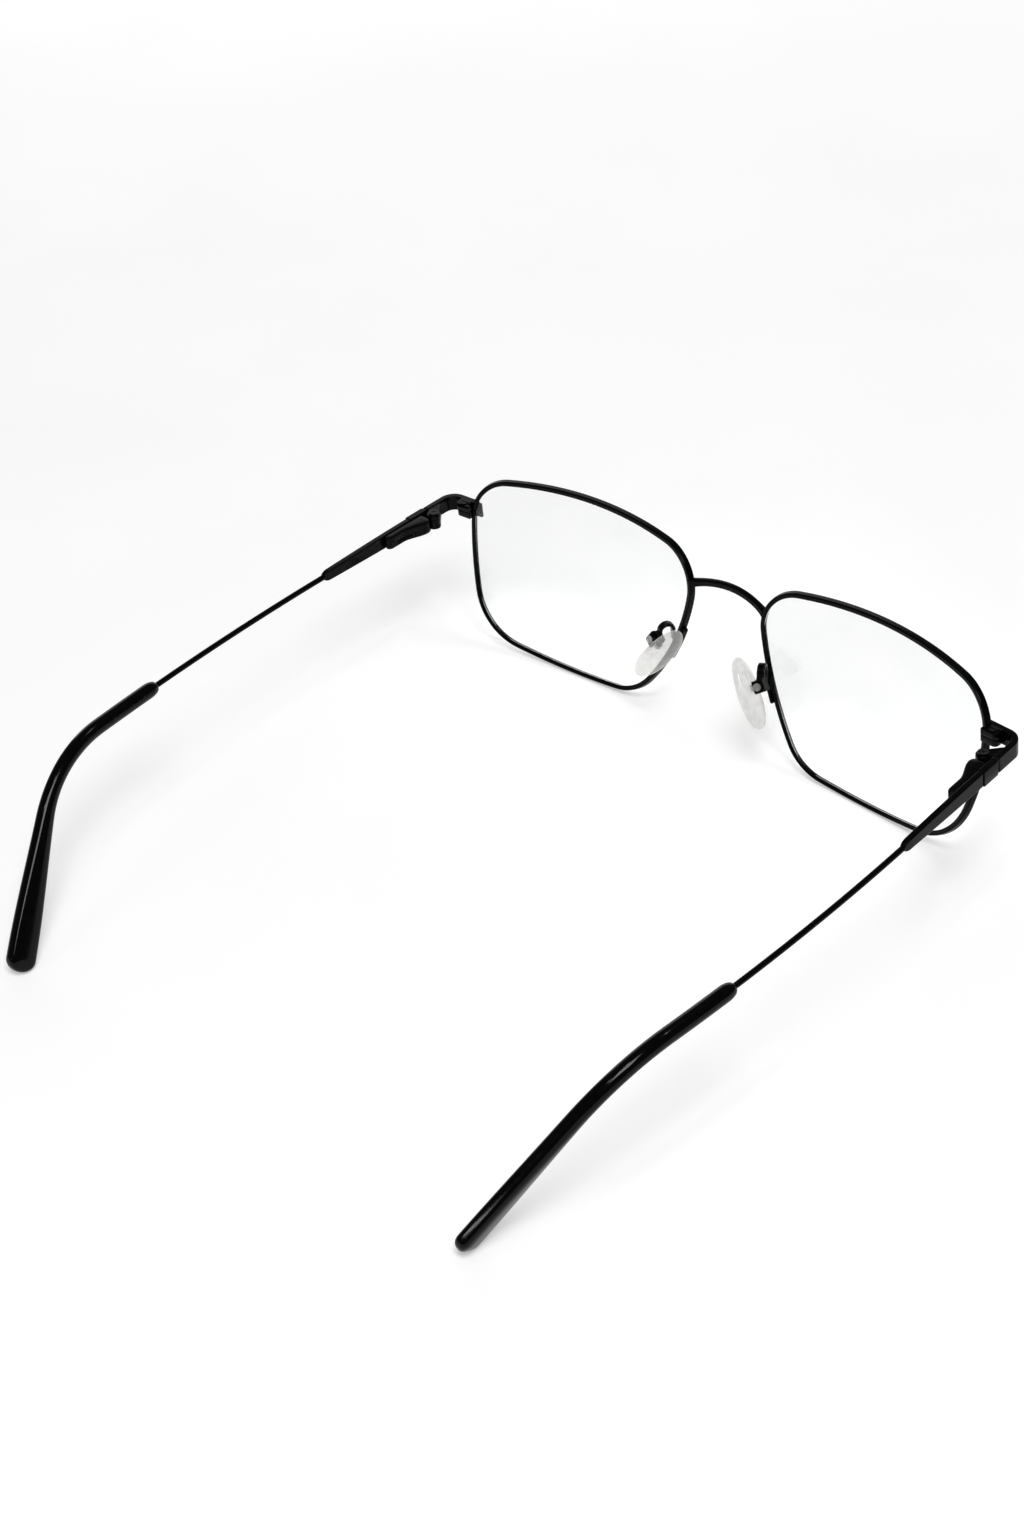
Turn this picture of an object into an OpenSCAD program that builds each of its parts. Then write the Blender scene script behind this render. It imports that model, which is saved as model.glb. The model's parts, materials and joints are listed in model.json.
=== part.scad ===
// Full-rim metal eyeglass frame with sprung temple hinges and adjustable nose pads.
// X is the width, with the wearer's left side at +X. The front faces -Y and the
// temples run towards +Y. Z points up from the surface that the frame stands on,
// which the lower rims and the ends of the temple tips touch. Lengths in millimetres.

/* [Lens shape] */
// Width of one eyewire between its outermost centreline points
lens_w = 56.7; // [50:0.1:60]
// Height of one eyewire between its highest and lowest centreline points
lens_h = 38.5; // [34:0.1:44]
// Distance between the two lens boxes at the nose
nose_gap = 18.8; // [15:0.1:24]
// Radius of the upper outer corner of the lens shape
corner_upper_outer = 9.4; // [7:0.1:11]
// Radius of the upper inner corner
corner_upper_inner = 8.9; // [7:0.1:11]
// Radius of the lower inner corner
corner_lower_inner = 12; // [9:0.1:14]
// Radius of the lower outer corner
corner_lower_outer = 13.4; // [10:0.1:15]
// How far the lower inner corner lies in from the upper one, away from the nose
nasal_cut = 7; // [3:0.1:9]
// How far the lower outer corner lies in from the upper one
temporal_cut = 1.5; // [0.5:0.1:4]
// Rise of the top side above its two corners
bulge_top = 1.64; // [0.8:0.02:2.4]
// Bulge of the side towards the nose
bulge_nasal = 1.1; // [0.5:0.02:2]
// Drop of the bottom side below its corners
bulge_bottom = 0.75; // [0.4:0.01:1.5]
// Bulge of the outer side
bulge_temporal = 0.5; // [0.3:0.01:1.2]
// Height of the lower outer corner above the lower inner one
lower_slope = 0.7; // [0:0.1:2]

/* [Face form] */
// Radius of the sphere that the lenses and eyewires follow
base_radius = 99; // [80:1:180]
// Forward lean of the top of the front, in degrees
front_tilt = 14.1; // [6:0.1:18]
// Backward sweep of the outer end of each lens, in degrees
front_wrap = 3.9; // [1:0.1:7]

/* [Eyewire and lens] */
// Thickness of the eyewire across its centreline
wire_t = 1; // [0.9:0.05:1.3]
// Depth of the eyewire from front to back
wire_d = 1.5; // [1.5:0.05:2]
// Rounding of the eyewire's four long edges
wire_edge = 0.25; // [0.15:0.01:0.3]
// Depth of the groove that holds the lens
groove_d = 0.35; // [0.25:0.01:0.4]
// Width of the groove at its mouth
groove_w = 0.8; // [0.6:0.05:1]
// Width of the slit between the eyewire's two ends, inside the closing block
rim_slit = 0.2; // [0.1:0.05:0.4]
// Angle of the slit above the centre of the upper outer corner, in degrees
slit_angle = 8.5; // [8:0.5:24]
// Thickness of the lens
lens_t = 1.3; // [1.1:0.05:1.5]
// Clearance of the lens in the eyewire
lens_clear = 0.05; // [0.03:0.01:0.1]

/* [Bridge] */
// Height of the bridge bar
bridge_h = 1.6; // [1.2:0.1:2.4]
// Thickness of the bridge bar from front to back
bridge_t = 1.3; // [1:0.1:1.8]
// Rise of the middle of the bridge above its ends
bridge_rise = 1.45; // [0.4:0.05:2.5]
// Forward bow of the middle of the bridge
bridge_bow = 1.6; // [0.4:0.05:2.5]
// Growth of the bar at its two ends, as a share of its section
bridge_flare = 0.25; // [0.1:0.01:0.4]
// Angle on the upper inner corner at which the bridge meets the eyewire, in degrees
bridge_angle = 13; // [10:1:32]

/* [Closing block] */
// Width of the closing block, outwards from the eyewire
block_w = 2.9; // [2.6:0.1:3.6]
// Length of the closing block, from front to back
block_l = 2.2; // [2:0.1:2.6]
// Height of the closing block with both its halves
block_h = 3; // [2.8:0.1:3.4]
// Gap between the two halves of the closing block
block_gap = 0.1; // [0.05:0.01:0.2]
// Reach of the closing block behind the eyewire
block_wrap = 0.75; // [0.3:0.05:0.9]
// Chamfer on the closing block's upright edges
block_chamfer = 0.45; // [0.2:0.05:0.6]
// Radius of the closing screw's shank
close_screw_r = 0.5; // [0.4:0.05:0.6]
// Radius of the closing screw's head
close_head_r = 0.9; // [0.8:0.05:1]
// Height of the closing screw's head
close_head_h = 0.45; // [0.3:0.05:0.6]

/* [End piece] */
// Backward slant of the end piece along the front, in degrees
plate_slant = 4; // [0:0.5:8]
// Distance of the end piece's front face ahead of the middle of the eyewire
plate_ahead = 1.5; // [1.4:0.05:1.8]
// Distance of the end piece's middle below the eyewire's slit
end_drop = 0.35; // [0:0.05:0.6]
// Thickness of the end piece
end_t = 1.3; // [1.1:0.05:1.4]
// Height of the end piece
end_h = 3.3; // [3:0.1:3.8]
// Radius of the bend at the end piece's corner, on its centreline
end_bend_r = 2.85; // [2.25:0.05:3]
// Reach of the end piece over the front of the eyewire, inwards from its centreline
end_lap = 1.2; // [0.6:0.1:1.6]

/* [Hinge] */
// Distance of the hinge screw's axis outside the lens box
pivot_out = 4.3; // [3:0.1:5.9]
// Distance of the hinge screw's axis behind the eyewire's slit
pivot_back = 7.7; // [7.6:0.1:9]
// Forward lean of the top of the hinge screw's axis, in degrees
hinge_tilt = 5; // [0:0.5:8]
// Outward splay of the temple where it leaves the hinge, in degrees
temple_splay = 2.2; // [0:0.1:5]
// Distance of the temple bar's centre outwards from the screw's axis
pivot_inset = 2.74; // [2.6:0.01:3]
// Radius of the hinge knuckles
knuckle_r = 1.4; // [1.25:0.05:1.45]
// Height of the three knuckles together
knuckle_h = 3; // [2.8:0.1:3.3]
// Height of the middle knuckle, which is the slider's eye
eye_h = 1.2; // [1:0.05:1.4]
// Gap above and below the middle knuckle
knuckle_gap = 0.05; // [0.03:0.01:0.08]
// Radius of the hinge screw's shank
hinge_screw_r = 0.6; // [0.5:0.05:0.7]
// Running clearance round the hinge screw
hinge_clear = 0.04; // [0.02:0.01:0.06]
// Radius of the hinge screw's head
hinge_head_r = 1.05; // [0.95:0.05:1.15]
// Height of the hinge screw's head
hinge_head_h = 0.45; // [0.3:0.05:0.5]
// Length of the hinge leaf along the end piece
leaf_l = 3.6; // [3:0.1:4]
// Distance of the seam between end piece and temple ahead of the screw's axis
seam_ahead = 0.35; // [0.3:0.01:0.5]
// Gap at that seam
seam_gap = 0.1; // [0.08:0.01:0.2]

/* [Spring mechanism] */
// Distance from the screw's axis to the front of the spring box
box_front = 1.7; // [1.7:0.05:2.2]
// Distance from the screw's axis to the rear end of the spring box
box_rear = 12.4; // [12.2:0.1:16]
// Height of the spring box
box_h = 2.8; // [2.6:0.1:3.1]
// Reach of the box's front part inwards from the screw's axis
box_front_in = 1.2; // [0.8:0.1:1.6]
// Distance of the box's rear inner face outwards from the screw's axis
box_rear_out = 0.5; // [0.4:0.05:0.55]
// Width and height of the slider's square tongue
tongue_w = 1; // [0.8:0.05:1.05]
// Length of the tongue behind the screw's axis
tongue_l = 3.4; // [3:0.1:3.8]
// Clearance round the tongue and the spring in the box
slide_clear = 0.06; // [0.04:0.01:0.1]
// Distance of the tongue's axis outwards from the screw's axis
slide_offset = 1.26; // [1.22:0.01:1.3]
// Radius of the slider's rod, which runs through the spring
rod_r = 0.2; // [0.16:0.01:0.22]
// Thickness of the box's shoulder, which the spring pushes on
shoulder_t = 0.7; // [0.5:0.1:1]
// Mean radius of the spring
spring_r = 0.4; // [0.36:0.01:0.42]
// Radius of the spring's wire
spring_wire_r = 0.1; // [0.08:0.01:0.11]
// Number of turns of the spring
spring_turns = 6; // [4:1:7]
// Length of the spring when the temple is sprung fully outwards
spring_l = 4.6; // [4.2:0.1:5]
// Travel of the spring box on the slider
slide_travel = 0.66; // [0.6:0.01:0.8]
// Length of the nut at the end of the rod
nut_l = 0.6; // [0.4:0.1:0.8]

/* [Temple] */
// Thickness of the temple's flat bar
bar_t = 1.3; // [1.1:0.05:1.4]
// Height of the flat bar behind its head
bar_h = 3.1; // [2.8:0.1:3.6]
// Height of the flat bar near its rear end
bar_end_h = 2.2; // [2:0.1:3]
// Distance from the screw's axis to the rear end of the flat bar
bar_l = 28.9; // [24:0.2:34]
// Length of the head block at the front of the bar
head_l = 4.9; // [4:0.1:6]
// Height of the head block
head_h = 3.3; // [3.1:0.1:3.8]
// How far the head block stands out from the bar's outer face
head_proud = 0.2; // [0.1:0.05:0.3]
// Radius of the temple wire
temple_wire_r = 0.58; // [0.5:0.01:0.65]
// Length of the wire from the bar to the start of the ear bend
wire_l = 61.6; // [50:0.2:75]
// Inward bow of the wire over that length, in degrees
wire_bow = 6.4; // [3:0.1:10]

/* [Temple tip] */
// Length of the tip that lies ahead of the ear bend
tip_lead = 15.6; // [15:0.2:24]
// Depth of the wire's hole in the tip
core_depth = 14; // [8:0.5:14.5]
// Angle of the ear bend, in degrees
ear_angle = 46.9; // [35:0.2:55]
// Radius of the ear bend
ear_r = 27.2; // [20:0.1:32]
// Inward lean of the ear bend's plane, in degrees
ear_lean = 22.8; // [10:0.5:28]
// Thickness of the tip
tip_t = 3.3; // [3:0.1:4]
// Height of the tip ahead of the bend
tip_h = 3.4; // [3.2:0.1:4.2]
// Height of the blade near the end of the tip
blade_h = 6.4; // [5:0.1:7]
// Thickness of the blade near the end of the tip
blade_t = 3.3; // [2.8:0.1:3.8]
// Clearance round the wire in the tip
core_clear = 0.06; // [0.04:0.01:0.1]

/* [Nose pads] */
// Distance from the middle plane to the middle of each pad
pad_x = 11.6; // [11:0.1:14]
// Distance of the pad's middle behind the middle of the lens
pad_back = 8.75; // [8:0.1:10]
// Distance of the pad's middle below the middle of the lens
pad_below = 1.7; // [0:0.1:3]
// Length of the pad
pad_l = 15; // [12:0.1:15.5]
// Width of the pad
pad_w = 7.6; // [6:0.1:8]
// Thickness of the pad
pad_t = 2.6; // [2:0.1:2.8]
// Lean of the pad's upper end towards the nose, in degrees
pad_lean = 33; // [24:0.5:36]
// Forward lean of the pad's upper end, in degrees
pad_pitch = 14.5; // [6:0.5:18]
// Turn of the pad's face towards the back, in degrees
pad_turn = 15; // [12:0.5:26]
// Distance from the pad's middle to the pad screw's axis
pad_stand = 3; // [2.8:0.05:3.4]
// Distance of the pad screw above the pad's middle, along the pad
pad_screw_up = 0.8; // [0:0.1:1.6]
// Side length of the pad box
pad_box_w = 2.6; // [2.4:0.1:3]
// Width of the slot in the pad box
pad_slot = 1.2; // [1:0.05:1.3]
// Clearance of the pad's stub in the slot
stub_clear = 0.06; // [0.04:0.01:0.1]
// Radius of the rounded end of the stub
stub_r = 0.95; // [0.85:0.05:1]
// Radius of the pad screw's shank
pad_screw_r = 0.38; // [0.32:0.02:0.42]
// Radius of the pad screw's head
pad_head_r = 0.8; // [0.7:0.05:0.9]
// Height of the pad screw's head
pad_head_h = 0.35; // [0.25:0.05:0.45]
// Running clearance round the pad screw
pad_screw_clear = 0.04; // [0.02:0.01:0.06]

/* [Pad arms] */
// Width of the arm's strip
arm_w = 1.6; // [1.2:0.1:1.8]
// Thickness of the arm's strip
arm_t = 0.75; // [0.6:0.05:0.9]
// Radius of the arm's arch, on its centreline
arch_r = 1.4; // [1.3:0.05:1.9]
// Height of the arm's foot on the eyewire, as a share of the inner side from its top
foot_share = 0.4; // [0.3:0.01:0.5]
// Length of the foot along the eyewire
foot_l = 8; // [5:0.1:8]

/* [Hidden] */

black_paint = "#141416";
steel = "#c9ccd0";
gloss_black = "#0b0b0d";
clear_plastic = [0.85, 0.88, 0.9, 0.45];
lens_tint = [0.8, 0.88, 0.92, 0.35];

// Gap left between two pieces that are brazed or seated on each other
seat = 0.02;
// Steps on each corner and on each side of the lens shape
corner_steps = 9;
side_steps = 7;

// Basic vector helpers
function unit(v) = v / norm(v);
function angle_of(v) = atan2(v[1], v[0]);
function ccw(a, b) = a + ((b - a) % 360 + 360) % 360;
function smooth(t) = let (c = min(max(t, 0), 1)) c * c * (3 - 2 * c);
function column(list, k) = [for (p = list) p[k]];

// Corner circles of the lens shape as [x, z, radius], counter-clockwise from the upper outer one
lower_lift = bulge_bottom * 0.53;
corners = [
    [lens_w / 2 - corner_upper_outer, lens_h / 2 - bulge_top - corner_upper_outer, corner_upper_outer],
    [-lens_w / 2 + corner_upper_inner, lens_h / 2 - bulge_top - corner_upper_inner, corner_upper_inner],
    [-lens_w / 2 + nasal_cut + corner_lower_inner, -lens_h / 2 + lower_lift + corner_lower_inner,
        corner_lower_inner],
    [lens_w / 2 - temporal_cut - corner_lower_outer,
        -lens_h / 2 + lower_lift + lower_slope + corner_lower_outer, corner_lower_outer]
];
bulges = [bulge_top, bulge_nasal, bulge_bottom, bulge_temporal];

// Radius and centre of the arc that joins two corner circles with a given bulge
function flat(c) = [c[0], c[1]];
function side_radius(a, b, h) =
    let (c = norm(flat(b) - flat(a)))
    (c * c / 4 + h * h) / (2 * h) + (a[2] + b[2]) / 2;
function side_centre(a, b, r) =
    let (
        d = norm(flat(b) - flat(a)),
        ra = r - a[2],
        rb = r - b[2],
        along = (d * d + ra * ra - rb * rb) / (2 * d),
        across = sqrt(ra * ra - along * along),
        u = (flat(b) - flat(a)) / d
    )
    flat(a) + along * u + across * [-u[1], u[0]];
side_r = [for (k = [0:3]) side_radius(corners[k], corners[(k + 1) % 4], bulges[k])];
side_c = [for (k = [0:3]) side_centre(corners[k], corners[(k + 1) % 4], side_r[k])];

// Angle at which corner k starts, and at which it ends
corner_start = [for (k = [0:3]) angle_of(flat(corners[k]) - side_c[(k + 3) % 4])];
corner_end = [for (k = [0:3]) ccw(corner_start[k], angle_of(flat(corners[k]) - side_c[k]))];

// Stations of the lens shape as [x, z, angle of the outward normal]
function arc(c, r, a0, a1, n) = [
    for (i = [0:n - 1])
        let (a = a0 + (a1 - a0) * i / n)
        [c[0] + r * cos(a), c[1] + r * sin(a), a]
];
function corner_arc(k, a0, a1, n) = arc(corners[k], corners[k][2], a0, a1, n);
function side_arc(k) =
    let (a0 = corner_end[k])
    arc(side_c[k], side_r[k], a0, ccw(a0, corner_start[(k + 1) % 4] % 360), side_steps);
function corner_point(k, a) = [
    corners[k][0] + corners[k][2] * cos(a), corners[k][1] + corners[k][2] * sin(a), a
];
slit_turn = rim_slit / 2 / corner_upper_outer * 180 / PI;
slit_low = slit_angle - slit_turn;
slit_high = slit_angle + slit_turn;
outline = concat(
    corner_arc(0, slit_high, corner_end[0], corner_steps),
    side_arc(0),
    corner_arc(1, corner_start[1], corner_end[1], corner_steps),
    side_arc(1),
    corner_arc(2, corner_start[2], corner_end[2], corner_steps),
    side_arc(2),
    corner_arc(3, corner_start[3], corner_end[3], corner_steps),
    side_arc(3),
    corner_arc(0, corner_start[0], slit_low, 3),
    [corner_point(0, slit_low)]
);

// A point of the lens frame, out by n from station s and back by b, on the base sphere
function sag(x, z) = base_radius - sqrt(base_radius * base_radius - x * x - z * z);
function sphere_normal(x, z) = unit([-x, base_radius - sag(x, z), -z]);
function outward(s) =
    let (nn = sphere_normal(s[0], s[1]), t = [cos(s[2]), 0, sin(s[2])])
    unit(t - (t * nn) * nn);
function lens_point(s, n, b) =
    [s[0], sag(s[0], s[1]), s[1]] + n * outward(s) + b * sphere_normal(s[0], s[1]);

// Turns of the lens frame into the frame of the whole
function tilt_point(p, a) = [p[0], p[1] * cos(a) - p[2] * sin(a), p[1] * sin(a) + p[2] * cos(a)];
function turn_point(p, a) = [p[0] * cos(a) - p[1] * sin(a), p[0] * sin(a) + p[1] * cos(a), p[2]];
function faced(p) = turn_point(tilt_point(p, front_tilt), front_wrap);

// The eyewire's section as [out, back] points
half_t = wire_t / 2;
half_d = wire_d / 2;
edge_mid = wire_edge * (1 - sqrt(0.5));
wire_section = [
    [half_t - wire_edge, -half_d], [half_t - edge_mid, -half_d + edge_mid],
    [half_t, -half_d + wire_edge], [half_t, half_d - wire_edge],
    [half_t - edge_mid, half_d - edge_mid], [half_t - wire_edge, half_d],
    [-half_t + wire_edge, half_d], [-half_t, half_d - wire_edge],
    [-half_t, groove_w / 2], [-half_t + groove_d, 0], [-half_t, -groove_w / 2],
    [-half_t, -half_d + wire_edge], [-half_t + wire_edge, -half_d]
];
eyewire_rings = [for (s = outline) [for (q = wire_section) faced(lens_point(s, q[0], q[1]))]];

// Place of the lens frame: the lowest point of the eyewire stands on the surface
lens_x = nose_gap / 2 + lens_w / 2;
lens_z = -min([for (r = eyewire_rings) min(column(r, 2))]);
lens_at = [lens_x, 0, lens_z];
function placed(p) = lens_at + faced(p);

// Eyewire at the slit, where the closing block and the end piece sit
slit_station = corner_point(0, slit_angle);
slit_at = placed(lens_point(slit_station, 0, 0));
slit_out = turn_point(tilt_point(outward(slit_station), front_tilt), front_wrap);
slit_back = turn_point(
    tilt_point(sphere_normal(slit_station[0], slit_station[1]), front_tilt), front_wrap
);
slit_up = cross(slit_out, slit_back);
hinge_z = slit_at[2] - end_drop;

// Hinge frame: origin on the screw's axis, Y along the temple bar, X outwards
pivot_x = nose_gap / 2 + lens_w + pivot_out;
pivot_at = [pivot_x, slit_at[1] + pivot_back, hinge_z];
seam_y = -seam_ahead;
head_front = seam_y + seam_gap;
bar_inner = pivot_inset - bar_t / 2;
end_inner = pivot_inset - end_t / 2;

// Point of the hinge frame in the frame of the whole
function hinge_point(p) = pivot_at + turn_point(p, -temple_splay);

// Line of the temple behind the bar: an arc inwards, then the ear bend, then straight
bow_r = wire_l / (wire_bow * PI / 180);
bow_centre = [pivot_inset - bow_r, bar_l, 0];
bend_at = bow_centre + bow_r * [cos(wire_bow), sin(wire_bow), 0];
bend_dir = [-sin(wire_bow), cos(wire_bow), 0];
bend_side = [-sin(ear_lean) * cos(wire_bow), -sin(ear_lean) * sin(wire_bow), -cos(ear_lean)];
bend_l = ear_r * ear_angle * PI / 180;
drop_dir = cos(ear_angle) * bend_dir + sin(ear_angle) * bend_side;
drop_side = cos(ear_angle) * bend_side - sin(ear_angle) * bend_dir;
bend_end = bend_at + ear_r * (sin(ear_angle) * bend_dir + (1 - cos(ear_angle)) * bend_side);

// Centre, direction and side vector of the tip at length l from the start of the ear bend
function tip_line(l) =
    l < 0 ?
        let (a = wire_bow + l / bow_r * 180 / PI)
        [
            bow_centre + bow_r * [cos(a), sin(a), 0], [-sin(a), cos(a), 0],
            [-sin(ear_lean) * cos(a), -sin(ear_lean) * sin(a), -cos(ear_lean)]
        ]
    : l < bend_l ?
        let (a = l / ear_r * 180 / PI)
        [
            bend_at + ear_r * (sin(a) * bend_dir + (1 - cos(a)) * bend_side),
            cos(a) * bend_dir + sin(a) * bend_side, cos(a) * bend_side - sin(a) * bend_dir
        ]
    : [bend_end + (l - bend_l) * drop_dir, drop_dir, drop_side];

// Closed ring of n points round the tip's line, with half sizes a across and c along its side vector
function tip_ring(l, a, c, n = 12) =
    let (f = tip_line(l), across = cross(f[1], f[2]))
    [
        for (i = [0:n - 1])
            let (t = 360 * (i + 0.5) / n)
            hinge_point(f[0] + a * cos(t) * across + c * sin(t) * f[2])
    ];

// Half sizes of the tip: a rounded nose, an even lead, then the blade and its round end
nose_l = 2.4;
round_l = 2.4;
function tip_size(l, l_end) =
    let (
        grow = smooth((l - bend_l * 0.6) / max(l_end - round_l - bend_l * 0.6, 1)),
        front = min((l + tip_lead) / nose_l, 1),
        nose = 0.62 + 0.38 * sqrt(max(1 - (1 - front) * (1 - front), 0)),
        back = min((l_end - l) / round_l, 1),
        round_end = sqrt(max(1 - (1 - back) * (1 - back), 0.02))
    )
    [
        (tip_t + (blade_t - tip_t) * grow) / 2 * nose * round_end,
        (tip_h + (blade_h - tip_h) * grow) / 2 * nose * round_end
    ];
core_r = (temple_wire_r + core_clear) / cos(15);
function tip_stations(l_end) = concat(
    [for (f = [0, 0.12, 0.35, 0.7, 1]) -tip_lead + nose_l * f],
    [-tip_lead * 0.55, -tip_lead * 0.2],
    [for (i = [0:6]) bend_l * i / 6],
    [for (i = [1:5]) bend_l + (l_end - round_l - bend_l) * i / 5],
    [for (f = [0.35, 0.62, 0.82, 0.95, 1]) l_end - round_l * (1 - f)]
);
function tip_rings(l_end) = concat(
    [for (l = [core_depth, core_depth / 2, 0]) tip_ring(l - tip_lead, core_r, core_r)],
    [for (l = tip_stations(l_end)) let (h = tip_size(l, l_end)) tip_ring(l, h[0], h[1])]
);

// The straight drop is as long as it takes the tip's end to reach the surface
drop_start = bend_l + 10;
drop_fall = -drop_dir[2];
tip_low = min([for (r = tip_rings(drop_start)) min(column(r, 2))]);
tip_end = drop_start + tip_low / drop_fall;
tip_all = tip_rings(tip_end);

// The whole is centred from front to back
front_y = min([for (r = eyewire_rings) min(column(r, 1))]);
back_y = max([for (r = tip_all) max(column(r, 1))]);
mid_y = (front_y + back_y) / 2;

// Surface through rings of equal count, closed at both ends
module loft(rings) {
    n = len(rings[0]);
    m = len(rings);
    points = [for (r = rings) for (p = r) p];
    sides = [
        for (i = [0:m - 2]) for (j = [0:n - 1])
            let (a = i * n + j, b = i * n + (j + 1) % n, c = a + n, d = b + n)
            each [[a, b, d], [a, d, c]]
    ];
    first = [for (j = [0:n - 1]) n - 1 - j];
    last = [for (j = [0:n - 1]) (m - 1) * n + j];
    polyhedron(points, concat(sides, [first, last]), convexity = 8);
}

// Everything is moved so that the origin lies under the middle of its box
module centred() {
    translate([0, -mid_y, 0]) children();
}

module sided(left) {
    centred() mirror([left ? 0 : 1, 0, 0]) children();
}

module lens_frame() {
    translate(lens_at) children();
}

// Frame at the eyewire's slit: X along the end piece, Y backwards, Z up
module slit_frame() {
    translate(slit_at) rotate([0, 0, plate_slant]) children();
}

module hinge_frame() {
    translate(pivot_at) rotate([0, 0, -temple_splay]) children();
}

module hinge_axis() {
    rotate([hinge_tilt, 0, 0]) children();
}

// Eyewires

module eyewire(left) {
    color(black_paint)
    sided(left)
    lens_frame()
    loft(eyewire_rings);
}

// Lenses

module lens(left) {
    edge_n = -half_t - lens_clear;
    tip_n = -half_t + groove_d - lens_clear;
    bevel_b = min(groove_w / 2, lens_t / 2) * (tip_n - edge_n) / groove_d;
    n = len(outline) - 1;
    shape = [for (i = [0:n - 1]) outline[i]];
    function inner(s, k, b) =
        let (p = lens_point(s, edge_n, 0), x = p[0] * k, z = p[2] * k)
        faced([x, sag(x, z), z] + b * sphere_normal(x, z));
    rings = [
        for (k = [0.02, 0.4, 0.75, 1]) [for (s = shape) inner(s, k, -lens_t / 2)],
        [for (s = shape) inner(s, 1, -bevel_b)],
        [for (s = shape) faced(lens_point(s, tip_n, 0))],
        [for (s = shape) inner(s, 1, bevel_b)],
        for (k = [1, 0.75, 0.4, 0.02]) [for (s = shape) inner(s, k, lens_t / 2)]
    ];
    color(lens_tint)
    sided(left)
    lens_frame()
    loft(rings);
}

// Bridge

// End of the bridge, carried a little way into the upper inner corner and cut off at its outer face
bridge_station = corner_point(1, 180 - bridge_angle);
bridge_end = placed(lens_point(bridge_station, half_t - 0.4, 0));
bridge_foot = placed(lens_point(bridge_station, 0, 0));
bridge_out = turn_point(tilt_point(outward(bridge_station), front_tilt), front_wrap);
bridge_back = turn_point(
    tilt_point(sphere_normal(bridge_station[0], bridge_station[1]), front_tilt), front_wrap
);
bridge_up = cross(bridge_out, bridge_back);
bridge_steps = 16;
function bridge_ring(t) =
    let (
        arch = 1 - t * t,
        centre = [
            bridge_end[0] * t, bridge_end[1] - bridge_bow * arch, bridge_end[2] + bridge_rise * arch
        ],
        along = unit([bridge_end[0], 2 * bridge_bow * t, -2 * bridge_rise * t]),
        thick = unit([0, 1, 0] - (along * [0, 1, 0]) * along),
        tall = cross(along, thick),
        grow = 1 + bridge_flare * pow(abs(t), 8),
        chamfer = 0.3,
        a = bridge_t / 2 * grow,
        c = bridge_h / 2 * grow
    )
    [
        for (q = [
            [1, 1 - chamfer], [1 - chamfer, 1], [chamfer - 1, 1], [-1, 1 - chamfer],
            [-1, chamfer - 1], [chamfer - 1, -1], [1 - chamfer, -1], [1, chamfer - 1]
        ]) centre + q[0] * a * thick + q[1] * c * tall
    ];

// Everything on the lens's side of the eyewire's outer face
module bridge_stop() {
    multmatrix([
        [bridge_out[0], bridge_back[0], bridge_up[0], bridge_foot[0]],
        [bridge_out[1], bridge_back[1], bridge_up[1], bridge_foot[1]],
        [bridge_out[2], bridge_back[2], bridge_up[2], bridge_foot[2]]
    ])
        translate([-4, -3, -3])
        cube([4 + half_t + seat, 6, 6]);
}

module bridge() {
    color(black_paint)
    centred()
    difference() {
        loft([for (i = [bridge_steps:-1:0]) bridge_ring(2 * i / bridge_steps - 1)]);
        bridge_stop();
        mirror([1, 0, 0]) bridge_stop();
    }
}

// Closing blocks

block_out = half_t + 0.2;
block_front = end_t - plate_ahead + seat;
block_back = block_front + block_l;
wrap_front = half_d + 0.45;
screw_out = block_out + block_w * 0.44;
screw_back = block_front + block_l * 0.48;

// Plan of the closing block with chamfered corners and a lip behind the eyewire
module block_plan() {
    right = block_out + block_w;
    lip = block_out - block_wrap;
    c = block_chamfer;
    polygon([
        [block_out, block_front], [right, block_front], [right, block_back - c],
        [right - c, block_back], [lip, block_back], [lip, wrap_front], [block_out, wrap_front]
    ]);
}

module block_upper(left) {
    h = (block_h - block_gap) / 2;
    color(black_paint)
    sided(left)
    slit_frame()
    difference() {
        translate([0, 0, block_gap / 2]) linear_extrude(h) block_plan();
        translate([screw_out, screw_back, 0])
            cylinder(r = close_screw_r + 0.05, h = block_h, $fn = 48);
        translate([screw_out, screw_back, block_gap / 2 + h - close_head_h * 0.6])
            cylinder(r = close_head_r + 0.05, h = block_h, $fn = 48);
    }
}

module block_lower(left) {
    h = (block_h - block_gap) / 2;
    color(black_paint)
    sided(left)
    slit_frame()
    difference() {
        translate([0, 0, -block_gap / 2 - h]) linear_extrude(h) block_plan();
        translate([screw_out, screw_back, -block_h])
            cylinder(r = close_screw_r + seat, h = 2 * block_h, $fn = 48);
    }
}

module closing_screw(left) {
    top = block_h / 2 - close_head_h * 0.6;
    color(steel)
    sided(left)
    slit_frame()
    translate([screw_out, screw_back, 0])
    difference() {
        union() {
            translate([0, 0, -block_h / 2]) cylinder(r = close_screw_r, h = block_h / 2 + top, $fn = 48);
            translate([0, 0, top + seat]) cylinder(r = close_head_r, h = close_head_h, $fn = 48);
            translate([0, 0, top - 0.1]) cylinder(r = close_screw_r, h = 0.2, $fn = 48);
        }
        translate([-close_head_r * 1.2, -0.12, top + close_head_h - 0.2])
            cube([close_head_r * 2.4, 0.24, 1]);
    }
}

// End pieces

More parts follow.
